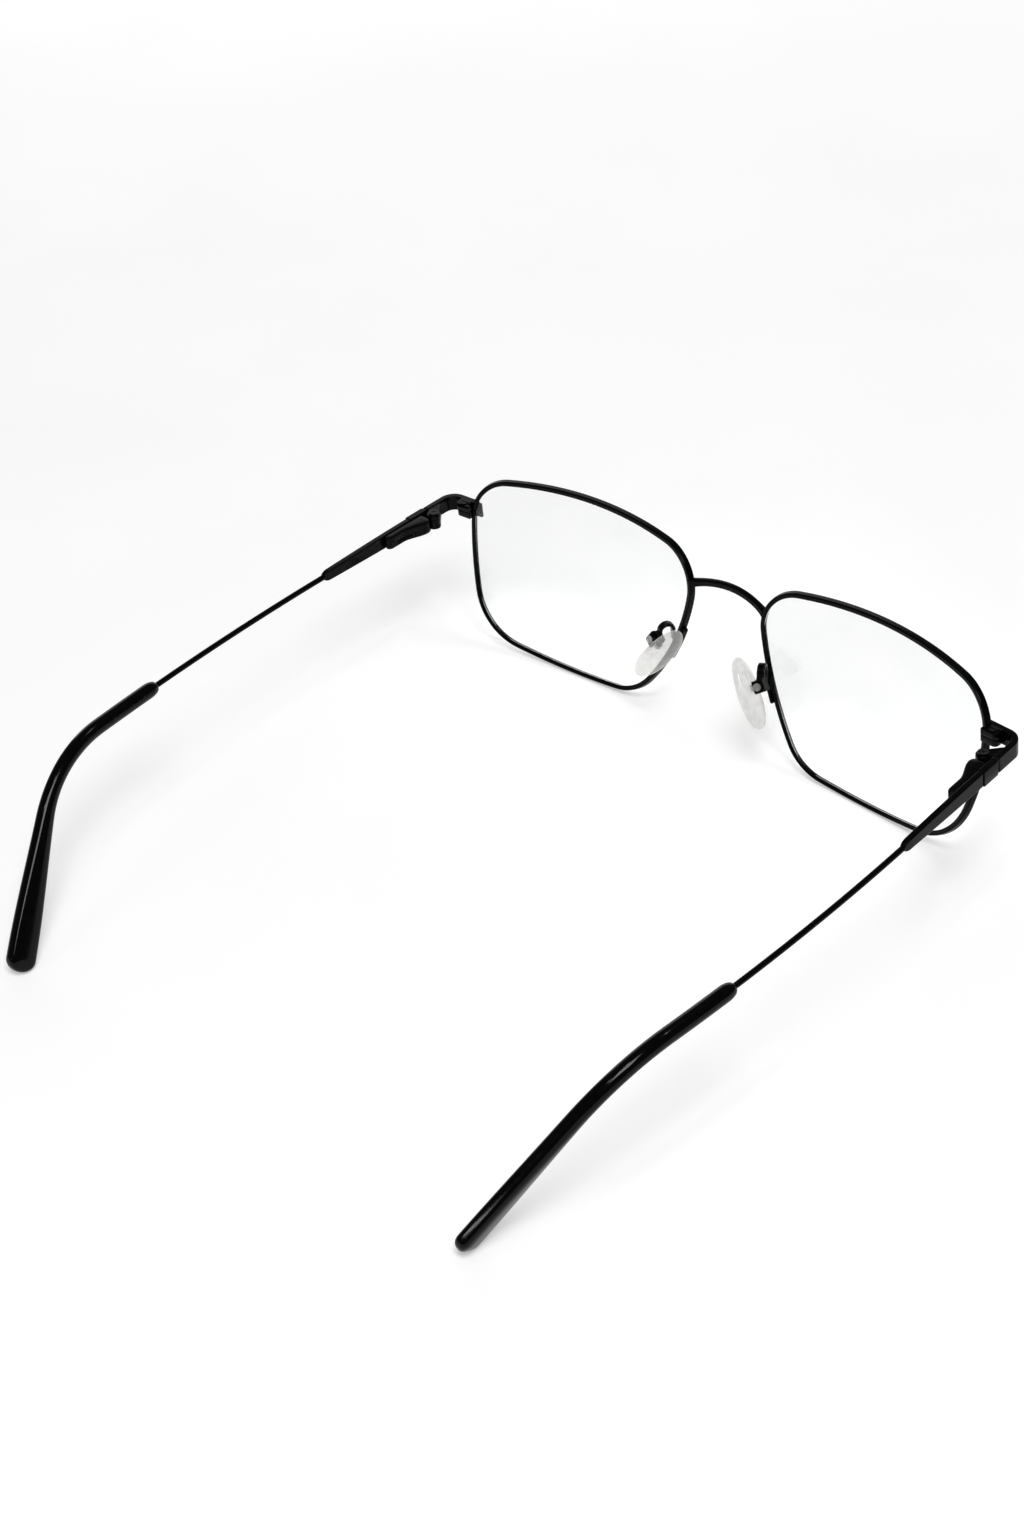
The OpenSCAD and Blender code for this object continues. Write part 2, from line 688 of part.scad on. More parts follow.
// Plan line of the end piece: along the front of the eyewire, round its corner, back to the seam
line_a = slit_at + turn_point([-end_lap, end_t / 2 - plate_ahead, 0], plate_slant);
dir_a = [cos(plate_slant), sin(plate_slant)];
line_b = hinge_point([pivot_inset, seam_y, 0]);
dir_b = [sin(temple_splay), cos(temple_splay)];
gap_ab = flat(line_b) - flat(line_a);
cross_ab = dir_a[0] * dir_b[1] - dir_a[1] * dir_b[0];
reach_a = (gap_ab[0] * dir_b[1] - gap_ab[1] * dir_b[0]) / cross_ab;
end_corner = flat(line_a) + reach_a * dir_a;
end_turn = 90 - temple_splay - plate_slant;
end_setback = end_bend_r * tan(end_turn / 2);
end_centre = end_corner - end_setback * dir_a + end_bend_r * [-dir_a[1], dir_a[0]];
end_steps = 10;

// Edge of the plan at a distance w to the right of the line, from its start to the seam
function end_edge(w) = concat(
    [flat(line_a) + w * [dir_a[1], -dir_a[0]]],
    [
        for (i = [0:end_steps])
            let (a = plate_slant - 90 + end_turn * i / end_steps)
            end_centre + (end_bend_r + w) * [cos(a), sin(a)]
    ],
    [flat(line_b) + w * [dir_b[1], -dir_b[0]]]
);
function reversed(list) = [for (i = [len(list) - 1:-1:0]) list[i]];

module end_piece(left) {
    side = half_t + seat + 0.03;
    color(black_paint)
    sided(left)
    difference() {
        translate([0, 0, hinge_z - end_h / 2])
            linear_extrude(end_h)
            polygon(concat(end_edge(end_t / 2), reversed(end_edge(-end_t / 2))));
        multmatrix([
            [slit_out[0], slit_back[0], slit_up[0], slit_at[0]],
            [slit_out[1], slit_back[1], slit_up[1], slit_at[1]],
            [slit_out[2], slit_back[2], slit_up[2], slit_at[2]]
        ])
            translate([-4, -half_d - seat - 0.03, -6])
            cube([4 + side, 4, 12]);
    }
}

// Hinges

prong_h = (knuckle_h - eye_h) / 2 - knuckle_gap;

module hinge_leaf(left) {
    leaf_x = end_inner - seat;
    color(black_paint)
    sided(left)
    hinge_frame()
    difference() {
        union() {
            hinge_axis()
                translate([0, 0, -knuckle_h / 2])
                cylinder(r = knuckle_r, h = knuckle_h, $fn = 64);
            translate([0, 0, -knuckle_h / 2])
                linear_extrude(knuckle_h)
                polygon([
                    [leaf_x, seam_y - leaf_l], [leaf_x, seam_y], [0.4, 0],
                    [-knuckle_r * 0.8, -knuckle_r * 0.6], [-knuckle_r * 0.4, -knuckle_r * 0.9]
                ]);
        }
        hinge_axis() {
            translate([0, 0, -eye_h / 2 - knuckle_gap])
                cylinder(r = knuckle_r + 0.15, h = eye_h + 2 * knuckle_gap, $fn = 64);
            translate([0, 0, -knuckle_h])
                cylinder(r = hinge_screw_r + hinge_clear, h = 2 * knuckle_h, $fn = 64);
            translate([0, 0, knuckle_h / 2])
                cylinder(r = hinge_head_r + 0.15, h = 1, $fn = 64);
        }
    }
}

module hinge_screw(left) {
    head_z = knuckle_h / 2 + seat;
    color(steel)
    sided(left)
    hinge_frame()
    hinge_axis()
    difference() {
        union() {
            translate([0, 0, -knuckle_h / 2]) cylinder(r = hinge_screw_r, h = knuckle_h + 0.1, $fn = 64);
            translate([0, 0, head_z]) cylinder(r = hinge_head_r, h = hinge_head_h, $fn = 64);
        }
        for (a = [0, 90])
            rotate([0, 0, a + 45])
            translate([-hinge_head_r * 0.7, -0.12, head_z + hinge_head_h - 0.22])
            cube([hinge_head_r * 1.4, 0.24, 1]);
    }
}

// Spring mechanism

pocket_l = tongue_l + 0.2;
shoulder_y = pocket_l;
spring_y = shoulder_y + shoulder_t;
spring_start = spring_y + slide_travel;
nut_y = spring_start + spring_l + seat;
cavity_r = spring_r + spring_wire_r + slide_clear;

module along_slide(y) {
    translate([slide_offset, y, 0]) rotate([-90, 0, 0]) children();
}

module slider(left) {
    color(steel)
    sided(left)
    hinge_frame()
    difference() {
        union() {
            hinge_axis() translate([0, 0, -eye_h / 2]) cylinder(r = knuckle_r, h = eye_h, $fn = 64);
            translate([slide_offset - tongue_w / 2, 0.2, -tongue_w / 2])
                cube([tongue_w, tongue_l - 0.2, tongue_w]);
            along_slide(tongue_l - 0.1) cylinder(r = rod_r, h = nut_y - tongue_l + 0.2, $fn = 32);
            along_slide(nut_y) cylinder(r = spring_r + spring_wire_r, h = nut_l, $fn = 32);
        }
        hinge_axis()
            translate([0, 0, -knuckle_h])
            cylinder(r = hinge_screw_r + hinge_clear, h = 2 * knuckle_h, $fn = 64);
        hinge_axis() {
            translate([0, 0, eye_h / 2]) cylinder(r = knuckle_r + 0.3, h = 1, $fn = 64);
            translate([0, 0, -eye_h / 2 - 1]) cylinder(r = knuckle_r + 0.3, h = 1, $fn = 64);
        }
    }
}

// Coil spring as one tube of six sides along a helix
module spring(left) {
    steps = 8;
    count = spring_turns * steps;
    span = spring_l - 2 * spring_wire_r - 2 * seat;
    color(steel)
    sided(left)
    loft([
        for (i = [0:count])
            let (a = 360 * i / steps, y = spring_start + seat + spring_wire_r + span * i / count)
            [
                for (j = [0:5])
                    let (b = -60 * j, r = spring_r + spring_wire_r * cos(b))
                    hinge_point([
                        slide_offset + r * cos(a), y + spring_wire_r * sin(b), r * sin(a)
                    ])
            ]
    ]);
}

// Plan of the spring box: deep beside the knuckles, hollowed behind them, round at the rear
module box_plan() {
    outer = bar_inner - seat;
    waist_y = box_front + 5.6;
    steps = 8;
    sweep = [
        for (i = [0:steps])
            let (t = i / steps)
            [-box_front_in + (box_front_in + box_rear_out) * smooth(t), box_front + 1 + (waist_y - box_front) * t]
    ];
    end_r = (outer - box_rear_out) / 2;
    round_end = [
        for (i = [0:steps])
            let (a = 180 - 180 * i / steps)
            [outer - end_r + end_r * cos(a), box_rear - 1.2 + 1.2 * sin(a)]
    ];
    polygon(concat([[-box_front_in + 0.5, box_front]], sweep, round_end, [[outer, box_front]]));
}

module spring_box(left) {
    side = tongue_w + 2 * slide_clear;
    color(black_paint)
    sided(left)
    hinge_frame()
    difference() {
        translate([0, 0, -box_h / 2]) linear_extrude(box_h) box_plan();
        translate([slide_offset - side / 2, box_front - 1, -side / 2])
            cube([side, pocket_l - box_front + 1, side]);
        along_slide(shoulder_y - 0.1) cylinder(r = rod_r + slide_clear, h = 2, $fn = 32);
        along_slide(spring_y)
            cylinder(r = cavity_r, h = nut_y + nut_l + 0.4 - spring_y, $fn = 48);
        translate([box_rear_out - 1, box_rear - 5, -0.35]) cube([1.1, 2.6, 0.7]);
    }
}

// Temples

bar_steps = 6;
// Side profile of the flat bar, tapering to a round rear end
bar_profile = concat(
    [[head_l + head_front, bar_h / 2]],
    [
        for (i = [1:bar_steps])
            let (t = i / bar_steps)
            [head_l + head_front + (bar_l - 1.6 - head_l - head_front) * t,
                bar_h / 2 - (bar_h - bar_end_h) / 2 * pow(t, 1.6)]
    ],
    [for (a = [75:-15:0]) [bar_l - 1.6 + 1.6 * cos(a), bar_end_h / 2 * sin(a)]]
);

module temple_bar(left) {
    color(black_paint)
    sided(left)
    hinge_frame()
    union() {
        translate([bar_inner, 0, 0])
            rotate([90, 0, 90])
            linear_extrude(bar_t)
            polygon(concat(
                bar_profile, [for (p = reversed(bar_profile)) if (p[1] > 0.001) [p[0], -p[1]]]
            ));
        translate([bar_inner, head_front, -head_h / 2])
            cube([bar_t + head_proud, head_l, head_h]);
    }
}

module temple_wire(left) {
    lead = wire_l - tip_lead + core_depth - 0.3;
    swing = lead / bow_r * 180 / PI;
    start = seat / bow_r * 180 / PI;
    color(black_paint)
    sided(left)
    hinge_frame()
    translate(bow_centre)
    rotate([0, 0, start])
    rotate_extrude(angle = swing - start, $fn = 360)
    translate([bow_r, 0])
    circle(r = temple_wire_r, $fn = 32);
}

module temple_tip(left) {
    color(gloss_black)
    sided(left)
    loft(tip_all);
}

// Nose pads

// Axes of the pad: along its length, out of its face, and along its screw
pad_along = unit([-sin(pad_lean), -sin(pad_pitch) * cos(pad_lean), cos(pad_pitch) * cos(pad_lean)]);
pad_face_raw = [-cos(pad_turn), sin(pad_turn), 0];
pad_face = unit(pad_face_raw - (pad_face_raw * pad_along) * pad_along);
pad_screw_dir = cross(pad_face, pad_along);
pad_at = [pad_x, pad_back, lens_z - pad_below];
pad_pivot = pad_at - pad_stand * pad_face + pad_screw_up * pad_along;

// Frame at the pad screw: X along the screw to the back, Y out of the pad's face, Z along the pad
module pad_frame() {
    multmatrix([
        [pad_screw_dir[0], pad_face[0], pad_along[0], pad_pivot[0]],
        [pad_screw_dir[1], pad_face[1], pad_along[1], pad_pivot[1]],
        [pad_screw_dir[2], pad_face[2], pad_along[2], pad_pivot[2]]
    ]) children();
}

module across_x(x0, r, h, fn = 48) {
    translate([x0, 0, 0]) rotate([0, 90, 0]) cylinder(r = r, h = h, $fn = fn);
}

module pad_box(left) {
    w = pad_box_w;
    color(black_paint)
    sided(left)
    pad_frame()
    difference() {
        translate([-w / 2, -w / 2, -w / 2]) cube([w, w - 0.15, w]);
        translate([-pad_slot / 2, -stub_r - 0.1, -w]) cube([pad_slot, 2 * w, 2 * w]);
        across_x(-w, pad_screw_r + pad_screw_clear, 2 * w);
    }
}

module pad_screw(left) {
    w = pad_box_w;
    color(steel)
    sided(left)
    pad_frame()
    difference() {
        union() {
            across_x(-w / 2, pad_screw_r, w + 0.1);
            across_x(w / 2 + seat, pad_head_r, pad_head_h);
        }
        translate([w / 2 + seat + pad_head_h - 0.18, -pad_head_r * 1.2, -0.11])
            cube([1, pad_head_r * 2.4, 0.22]);
    }
}

pad_back_y = pad_stand - pad_t / 2;

module pad_core(left) {
    half = pad_slot / 2 - stub_clear;
    color(clear_plastic)
    sided(left)
    pad_frame()
    difference() {
        union() {
            across_x(-half, stub_r, 2 * half);
            translate([-half, 0, -0.7]) cube([2 * half, pad_back_y + 0.25, 1.4]);
        }
        across_x(-2, pad_screw_r + pad_screw_clear, 4);
    }
}

// The pad: an oval with a crowned face and a nearly flat back, in the pad's own axes
pad_rings_n = 24;
function pad_ring(k, y) = [
    for (i = [0:pad_rings_n - 1])
        let (a = -360 * i / pad_rings_n, egg = 1 + 0.1 * sin(a))
        [pad_w / 2 * k * cos(a) / egg, y, pad_l / 2 * k * sin(a)]
];

module nose_pad(left) {
    half = pad_slot / 2 - stub_clear;
    back = -pad_t / 2;
    profile = [
        [0.03, back], [0.55, back], [0.85, back + 0.2], [0.97, back + 0.65], [1, -0.05],
        [0.96, 0.45], [0.82, 0.9], [0.5, 1.2], [0.03, pad_t / 2]
    ];
    color(clear_plastic)
    sided(left)
    pad_frame()
    translate([0, pad_stand, -pad_screw_up])
    difference() {
        loft([for (p = profile) pad_ring(p[0], p[1])]);
        translate([-half - seat, back - 0.5, pad_screw_up - 0.7 - seat])
            cube([2 * half + 2 * seat, 0.8, 1.4 + 2 * seat]);
    }
}

// Pad arms

// Station on the eyewire's inner side, at a share of it from its top
side_from = corner_end[1];
side_span = ccw(side_from, corner_start[2] % 360) - side_from;
function inner_station(share) =
    let (a = side_from + side_span * share)
    [side_c[1][0] + side_r[1] * cos(a), side_c[1][1] + side_r[1] * sin(a), a];
side_l = side_r[1] * side_span * PI / 180;
foot_station = inner_station(foot_share);
foot_out = turn_point(tilt_point(outward(foot_station), front_tilt), front_wrap);
foot_back = turn_point(
    tilt_point(sphere_normal(foot_station[0], foot_station[1]), front_tilt), front_wrap
);
foot_root = placed(lens_point(foot_station, half_t + seat + arm_t / 2, half_d - 0.1));
foot_steps = 8;
// Section of the foot as [out, back] points, and its place along the eyewire
foot_section = [
    [half_t + seat, -0.5], [half_t + seat + arm_t - 0.15, -0.5], [half_t + seat + arm_t, -0.35],
    [half_t + seat + arm_t, half_d + 0.1], [half_t + seat + arm_t - 0.15, half_d + 0.25],
    [half_t + seat, half_d + 0.25]
];
foot_rings = [
    for (i = [foot_steps:-1:0])
        let (st = inner_station(foot_share + (i / foot_steps - 0.3) * foot_l / side_l))
        [for (q = foot_section) placed(lens_point(st, q[0], q[1]))]
];

// Room for the eyewire along the foot, half a seat gap clear of its outer face
wire_room = half_d + seat + 0.02;
wire_room_rings = [
    for (i = [5:-1:-5])
        let (st = inner_station(foot_share + i * 0.7 / side_l))
        [
            for (q = [
                [-1.5, -wire_room], [half_t + seat / 2, -wire_room],
                [half_t + seat / 2, wire_room], [-1.5, wire_room]
            ]) placed(lens_point(st, q[0], q[1]))
        ]
];

// Plan direction of the arm, from its foot to the pad box
arm_span = [pad_pivot[0] - foot_root[0], pad_pivot[1] - foot_root[1]];
arm_yaw = angle_of(arm_span);
arm_reach = norm(arm_span);
entry_z = pad_pivot[2] + 1.15 - foot_root[2];
foot_run = 0.5;
riser_r = 0.8;
sweep_r = 0.9;
sweep_turn = 80;
arch_u = foot_run + riser_r + arch_r;
arch_z = entry_z + sweep_r * (1 - cos(sweep_turn)) - arch_r * cos(sweep_turn);

// Stations of the arm's strip as [along, up, heading]: back from the foot, up, over the arch, into the box
arm_path = concat(
    [[-arm_t / 2, 0, 0]],
    [for (h = [0:15:90]) [foot_run + riser_r * sin(h), riser_r * (1 - cos(h)), h]],
    [for (h = [90:-17:-sweep_turn]) [arch_u - arch_r * sin(h), arch_z + arch_r * cos(h), h]],
    [
        for (h = [-sweep_turn:16:0])
            [
                arch_u + arch_r * sin(sweep_turn) + sweep_r * (sin(sweep_turn) + sin(h)),
                entry_z + sweep_r * (1 - cos(h)), h
            ]
    ],
    [[arm_reach - 0.6, entry_z, 0]]
);
function arm_edge(w) = [for (q = arm_path) [q[0] - w * sin(q[2]), q[1] + w * cos(q[2])]];

module pad_arm(left) {
    side = pad_box_w + 2 * seat;
    color(black_paint)
    sided(left)
    difference() {
        union() {
            translate(foot_root)
                rotate([0, 0, arm_yaw])
                rotate([90, 0, 0])
                translate([0, 0, -arm_w / 2])
                linear_extrude(arm_w)
                polygon(concat(arm_edge(arm_t / 2), reversed(arm_edge(-arm_t / 2))));
            loft(foot_rings);
        }
        pad_frame() translate([-side / 2, -side / 2, -side / 2]) cube(side);
        loft(wire_room_rings);
    }
}

eyewire(true);  // left_eyewire
eyewire(false);  // right_eyewire
bridge();
lens(true);  // left_lens
lens(false);  // right_lens
block_upper(true);  // left_block_upper
block_upper(false);  // right_block_upper
block_lower(true);  // left_block_lower
block_lower(false);  // right_block_lower
closing_screw(true);  // left_closing_screw
closing_screw(false);  // right_closing_screw
end_piece(true);  // left_end_piece
end_piece(false);  // right_end_piece
hinge_leaf(true);  // left_hinge_leaf
hinge_leaf(false);  // right_hinge_leaf
hinge_screw(true);  // left_hinge_screw
hinge_screw(false);  // right_hinge_screw
slider(true);  // left_slider
slider(false);  // right_slider
spring(true);  // left_spring
spring(false);  // right_spring
spring_box(true);  // left_spring_box
spring_box(false);  // right_spring_box
temple_bar(true);  // left_temple_bar
temple_bar(false);  // right_temple_bar
temple_wire(true);  // left_temple_wire
temple_wire(false);  // right_temple_wire
temple_tip(true);  // left_temple_tip
temple_tip(false);  // right_temple_tip
pad_arm(true);  // left_pad_arm
pad_arm(false);  // right_pad_arm
pad_box(true);  // left_pad_box
pad_box(false);  // right_pad_box
pad_screw(true);  // left_pad_screw
pad_screw(false);  // right_pad_screw
pad_core(true);  // left_pad_core
pad_core(false);  // right_pad_core
nose_pad(true);  // left_nose_pad
nose_pad(false);  // right_nose_pad
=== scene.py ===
import bpy
import json
import numpy as np
from mathutils import Matrix


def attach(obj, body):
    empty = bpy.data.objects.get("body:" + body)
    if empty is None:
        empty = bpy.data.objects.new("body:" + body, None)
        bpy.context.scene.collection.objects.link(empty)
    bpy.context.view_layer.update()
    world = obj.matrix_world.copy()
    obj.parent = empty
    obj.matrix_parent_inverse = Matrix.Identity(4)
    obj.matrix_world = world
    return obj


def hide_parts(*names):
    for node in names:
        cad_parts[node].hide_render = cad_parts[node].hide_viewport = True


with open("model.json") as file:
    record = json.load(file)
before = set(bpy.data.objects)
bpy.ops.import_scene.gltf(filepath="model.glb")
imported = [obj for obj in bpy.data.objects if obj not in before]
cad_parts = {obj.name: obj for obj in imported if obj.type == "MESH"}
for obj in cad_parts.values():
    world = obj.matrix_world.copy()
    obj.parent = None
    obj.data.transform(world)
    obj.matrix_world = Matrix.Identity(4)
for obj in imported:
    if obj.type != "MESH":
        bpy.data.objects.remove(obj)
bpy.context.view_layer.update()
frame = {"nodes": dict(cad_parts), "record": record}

# Millimetres in a metre
MM = 1000

# Sizes of the frame in millimetres, as in the part's source
LENS_W, LENS_H = 56.7, 38.5
UPPER_OUTER_R, UPPER_INNER_R, LOWER_INNER_R, LOWER_OUTER_R = 9.4, 8.9, 12.0, 13.4
NASAL_CUT, TEMPORAL_CUT = 7.0, 1.5
BULGES = (1.64, 1.1, 0.75, 0.5)
LOWER_SLOPE = 0.7
# Share of the lower arc's bulge by which the lower corners are raised
LOWER_LIFT = 0.53
BASE_RADIUS, FRONT_TILT, FRONT_WRAP = 99.0, 14.1, 3.9
WIRE_T, WIRE_D, GROOVE_D, GROOVE_W = 1.0, 1.5, 0.35, 0.8
RIM_SLIT, SLIT_ANGLE = 0.2, 8.5
LENS_T, LENS_CLEAR = 1.3, 0.05
BRIDGE_H, BRIDGE_T, BRIDGE_RISE, BRIDGE_BOW, BRIDGE_FLARE, BRIDGE_ANGLE = 1.6, 1.3, 1.45, 1.6, 0.25, 13.0
PLATE_SLANT, PLATE_AHEAD, END_DROP, END_T, END_H, END_BEND_R, END_LAP = 4.0, 1.5, 0.35, 1.3, 3.3, 2.85, 1.2
PIVOT_X, PIVOT_BACK, TEMPLE_SPLAY, PIVOT_INSET, HINGE_TILT = 70.4, 7.7, 2.2, 2.74, 5.0
SEAM_AHEAD, SEAM_GAP = 0.35, 0.1
KNUCKLE_R, KNUCKLE_H, EYE_H, KNUCKLE_GAP, HINGE_SCREW_R, LEAF_L = 1.4, 3.0, 1.2, 0.05, 0.6, 3.6
BLOCK_W, BLOCK_L, BLOCK_H, BLOCK_GAP, BLOCK_WRAP = 2.9, 2.2, 3.0, 0.1, 0.75
BOX_FRONT, BOX_REAR, BOX_H, BOX_FRONT_IN, BOX_REAR_OUT = 1.7, 12.4, 2.8, 1.2, 0.5
BAR_T, BAR_H, BAR_END_H, BAR_L, HEAD_L, HEAD_H, HEAD_PROUD = 1.3, 3.1, 2.2, 28.9, 4.9, 3.3, 0.2
WIRE_R, WIRE_L, WIRE_BOW = 0.58, 61.6, 6.4
TIP_LEAD, EAR_ANGLE, EAR_R, EAR_LEAN = 15.6, 46.9, 27.2, 22.8
TIP_T, TIP_H, BLADE_H, BLADE_T = 3.3, 3.4, 6.4, 3.3
PAD_X, PAD_BACK, PAD_BELOW, PAD_L, PAD_W = 11.6, 8.75, 1.7, 15.0, 7.6
PAD_LEAN, PAD_PITCH, PAD_TURN, PAD_STAND, PAD_SCREW_UP = 33.0, 14.5, 15.0, 3.0, 0.8
PAD_BOX_W, PAD_SLOT = 2.6, 1.2
ARM_W, ARM_T, ARCH_R, FOOT_SHARE, FOOT_L = 1.6, 0.75, 1.4, 0.4, 8.0
SEAT = 0.02

# Distance by which some faces are drawn in from the source's sizes, and radius of the ring that closes a face
INSET, POLE_R = 0.02, 0.02


def sind(a):
    """Sine of an angle in degrees."""
    return np.sin(np.radians(a))


def cosd(a):
    """Cosine of an angle in degrees."""
    return np.cos(np.radians(a))


def unit(v):
    """Each vector divided by its length."""
    v = np.asarray(v, float)
    return v / np.linalg.norm(v, axis=-1, keepdims=True)


# Lens shape: four corner circles joined by four shallow arcs

half_w, half_h = LENS_W / 2, LENS_H / 2
low = -half_h + BULGES[2] * LOWER_LIFT
corners = np.array([
    [half_w - UPPER_OUTER_R, half_h - BULGES[0] - UPPER_OUTER_R, UPPER_OUTER_R],
    [-half_w + UPPER_INNER_R, half_h - BULGES[0] - UPPER_INNER_R, UPPER_INNER_R],
    [-half_w + NASAL_CUT + LOWER_INNER_R, low + LOWER_INNER_R, LOWER_INNER_R],
    [half_w - TEMPORAL_CUT - LOWER_OUTER_R, low + LOWER_SLOPE + LOWER_OUTER_R, LOWER_OUTER_R],
])


def side_arc(k):
    """Arc from corner circle k to the next: radius (c*c/4 + h*h) / 2h plus the mean corner radius,
    and the centre at the distances r - ra and r - rb from the two corner centres."""
    a, b, h = corners[k], corners[(k + 1) % 4], BULGES[k]
    d = np.linalg.norm(b[:2] - a[:2])
    r = (d * d / 4 + h * h) / (2 * h) + (a[2] + b[2]) / 2
    ra, rb = r - a[2], r - b[2]
    along = (d * d + ra * ra - rb * rb) / (2 * d)
    u = (b[:2] - a[:2]) / d
    return a[:2] + along * u + np.sqrt(ra * ra - along * along) * np.array([-u[1], u[0]]), r


SIDES = [side_arc(k) for k in range(4)]


def heading(v):
    """Angle of a plane vector from the first axis, in degrees."""
    return np.degrees(np.arctan2(v[1], v[0]))


def ccw(a, b):
    """Angle b plus the whole turns that put it in the turn that follows a."""
    return a + (b - a) % 360


CORNER_START = [heading(corners[k][:2] - SIDES[k - 1][0]) for k in range(4)]
CORNER_END = [ccw(CORNER_START[k], heading(corners[k][:2] - SIDES[k][0])) for k in range(4)]


def arc_stations(c, r, a0, a1, n):
    """n stations [x, z, angle of the outward normal] on an arc, without its last point."""
    a = a0 + (a1 - a0) * np.arange(n) / n
    return np.stack([c[0] + r * cosd(a), c[1] + r * sind(a), a], 1)


def corner_point(k, a):
    """Station on corner circle k at angle a: centre + radius (cos a, sin a), with a as the normal's angle."""
    return np.array([[corners[k][0] + corners[k][2] * cosd(a), corners[k][1] + corners[k][2] * sind(a), a]])


def lens_outline(fine):
    """Stations all round the lens shape, from just above the slit to just below it."""
    turn = np.degrees(RIM_SLIT / 2 / UPPER_OUTER_R)
    parts = [arc_stations(corners[0][:2], corners[0][2], SLIT_ANGLE + turn, CORNER_END[0], 12 * fine)]
    for k in (0, 1, 2, 3):
        start = CORNER_END[k]
        stop = ccw(start, CORNER_START[(k + 1) % 4])
        parts.append(arc_stations(SIDES[k][0], SIDES[k][1], start, stop, 10 * fine))
        if k < 3:
            c = corners[k + 1]
            parts.append(arc_stations(c[:2], c[2], CORNER_START[k + 1], CORNER_END[k + 1], 12 * fine))
    parts.append(arc_stations(corners[0][:2], corners[0][2], CORNER_START[0], SLIT_ANGLE - turn, 6 * fine))
    parts.append(corner_point(0, SLIT_ANGLE - turn))
    return np.concatenate(parts)


def sag(x, z):
    """Depth of the base sphere behind its front point: R - sqrt(R R - x x - z z)."""
    return BASE_RADIUS - np.sqrt(BASE_RADIUS ** 2 - x * x - z * z)


def sphere_normal(x, z):
    """Unit vector from a point of the base sphere to its centre: (-x, R - sag, -z)."""
    return unit(np.stack([-x, BASE_RADIUS - sag(x, z), -z], -1))


def outward(s):
    """Outward direction t of the lens shape, laid into the base sphere's tangent plane: t - (t . n) n."""
    nn = sphere_normal(s[:, 0], s[:, 1])
    t = np.stack([cosd(s[:, 2]), 0 * s[:, 0], sind(s[:, 2])], 1)
    return unit(t - np.sum(t * nn, 1, keepdims=True) * nn)


def lens_point(s, n, b):
    """Point of the base sphere at station s, moved out by n and back by b."""
    p = np.stack([s[:, 0], sag(s[:, 0], s[:, 1]), s[:, 1]], 1)
    return p + n * outward(s) + b * sphere_normal(s[:, 0], s[:, 1])


def turn_z(p, a):
    """Turn about Z by a: (x cos a - y sin a, x sin a + y cos a, z)."""
    x, y, z = np.moveaxis(np.asarray(p, float), -1, 0)
    return np.stack([x * cosd(a) - y * sind(a), x * sind(a) + y * cosd(a), z], -1)


def tilt_x(p, a):
    """Turn about X by a: (x, y cos a - z sin a, y sin a + z cos a)."""
    x, y, z = np.moveaxis(np.asarray(p, float), -1, 0)
    return np.stack([x, y * cosd(a) - z * sind(a), y * sind(a) + z * cosd(a)], -1)


def faced(p):
    """Lens point tilted back by FRONT_TILT, then turned by FRONT_WRAP."""
    return turn_z(tilt_x(p, FRONT_TILT), FRONT_WRAP)


# Values that the part's source works out for itself, in millimetres
MID_Y = 69.355
LENS_AT = np.array([37.75, 0, 18.9132])


def placed(p):
    """Lens point turned to its face and moved to the lens's middle."""
    return LENS_AT + faced(p)


slit_station = corner_point(0, SLIT_ANGLE)
SLIT_AT = placed(lens_point(slit_station, 0, 0))[0]
PIVOT_AT = np.array([PIVOT_X, SLIT_AT[1] + PIVOT_BACK, SLIT_AT[2] - END_DROP])
BAR_IN = PIVOT_INSET - BAR_T / 2
SEAM_Y = -SEAM_AHEAD
HEAD_FRONT = SEAM_Y + SEAM_GAP


def hinge_point(p):
    """Frame of the hinge: origin on the screw's axis, Y along the temple bar, X outwards."""
    return PIVOT_AT + turn_z(p, -TEMPLE_SPLAY)


# Surface helpers

# Sizes of the rings that close a swept end, as shares of its last section
CAP_SHARES = (0.93, 0.3, 0.02)


def rounded(points, radii, steps=5, support=0.05):
    """Closed polygon whose corners become arcs of the given radii r, which touch the edges at r / tan(half
    the corner's angle), with a point just off each arc's ends so that the flats between them keep a flat
    shade. Points run counter-clockwise."""
    p = np.asarray(points, float)
    n = len(p)
    out = []
    for i in range(n):
        a, b, c = p[i - 1], p[i], p[(i + 1) % n]
        u, w = unit(a - b), unit(c - b)
        half = np.arccos(np.clip(np.dot(u, w), -1, 1)) / 2
        r = radii[i] if np.ndim(radii) else radii
        t = r / np.tan(half)
        centre = b + unit(u + w) * r / np.sin(half)
        v0, v1 = b + u * t - centre, b + w * t - centre
        a0, a1 = np.arctan2(v0[1], v0[0]), np.arctan2(v1[1], v1[0])
        da = (a1 - a0 + np.pi) % (2 * np.pi) - np.pi
        th = a0 + da * np.linspace(0, 1, steps)
        out.append((b + u * (t + support))[None])
        out.append(centre + r * np.stack([np.cos(th), np.sin(th)], 1))
        out.append((b + w * (t + support))[None])
    return np.concatenate(out)


def block_section(a, c, r, steps=5):
    """Rounded rectangle of half sizes a and c with corner radius r."""
    return rounded([[a, -c], [a, c], [-a, c], [-a, -c]], r, steps, min(0.05, 0.3 * (min(a, c) - r) + 0.005))


def shrunk(section, inset):
    """Section moved inwards by inset along its own normals, the mean of the normals of its two edges."""
    e = np.roll(section, -1, -2) - section
    nrm = unit(np.stack([e[..., 1], -e[..., 0]], -1))
    nrm = unit(nrm + np.roll(nrm, 1, -2) + 1e-9)
    x, z = section[..., 0], section[..., 1]
    area = np.sum(x * np.roll(z, -1, -1) - z * np.roll(x, -1, -1))
    return section - nrm * inset * np.sign(area)


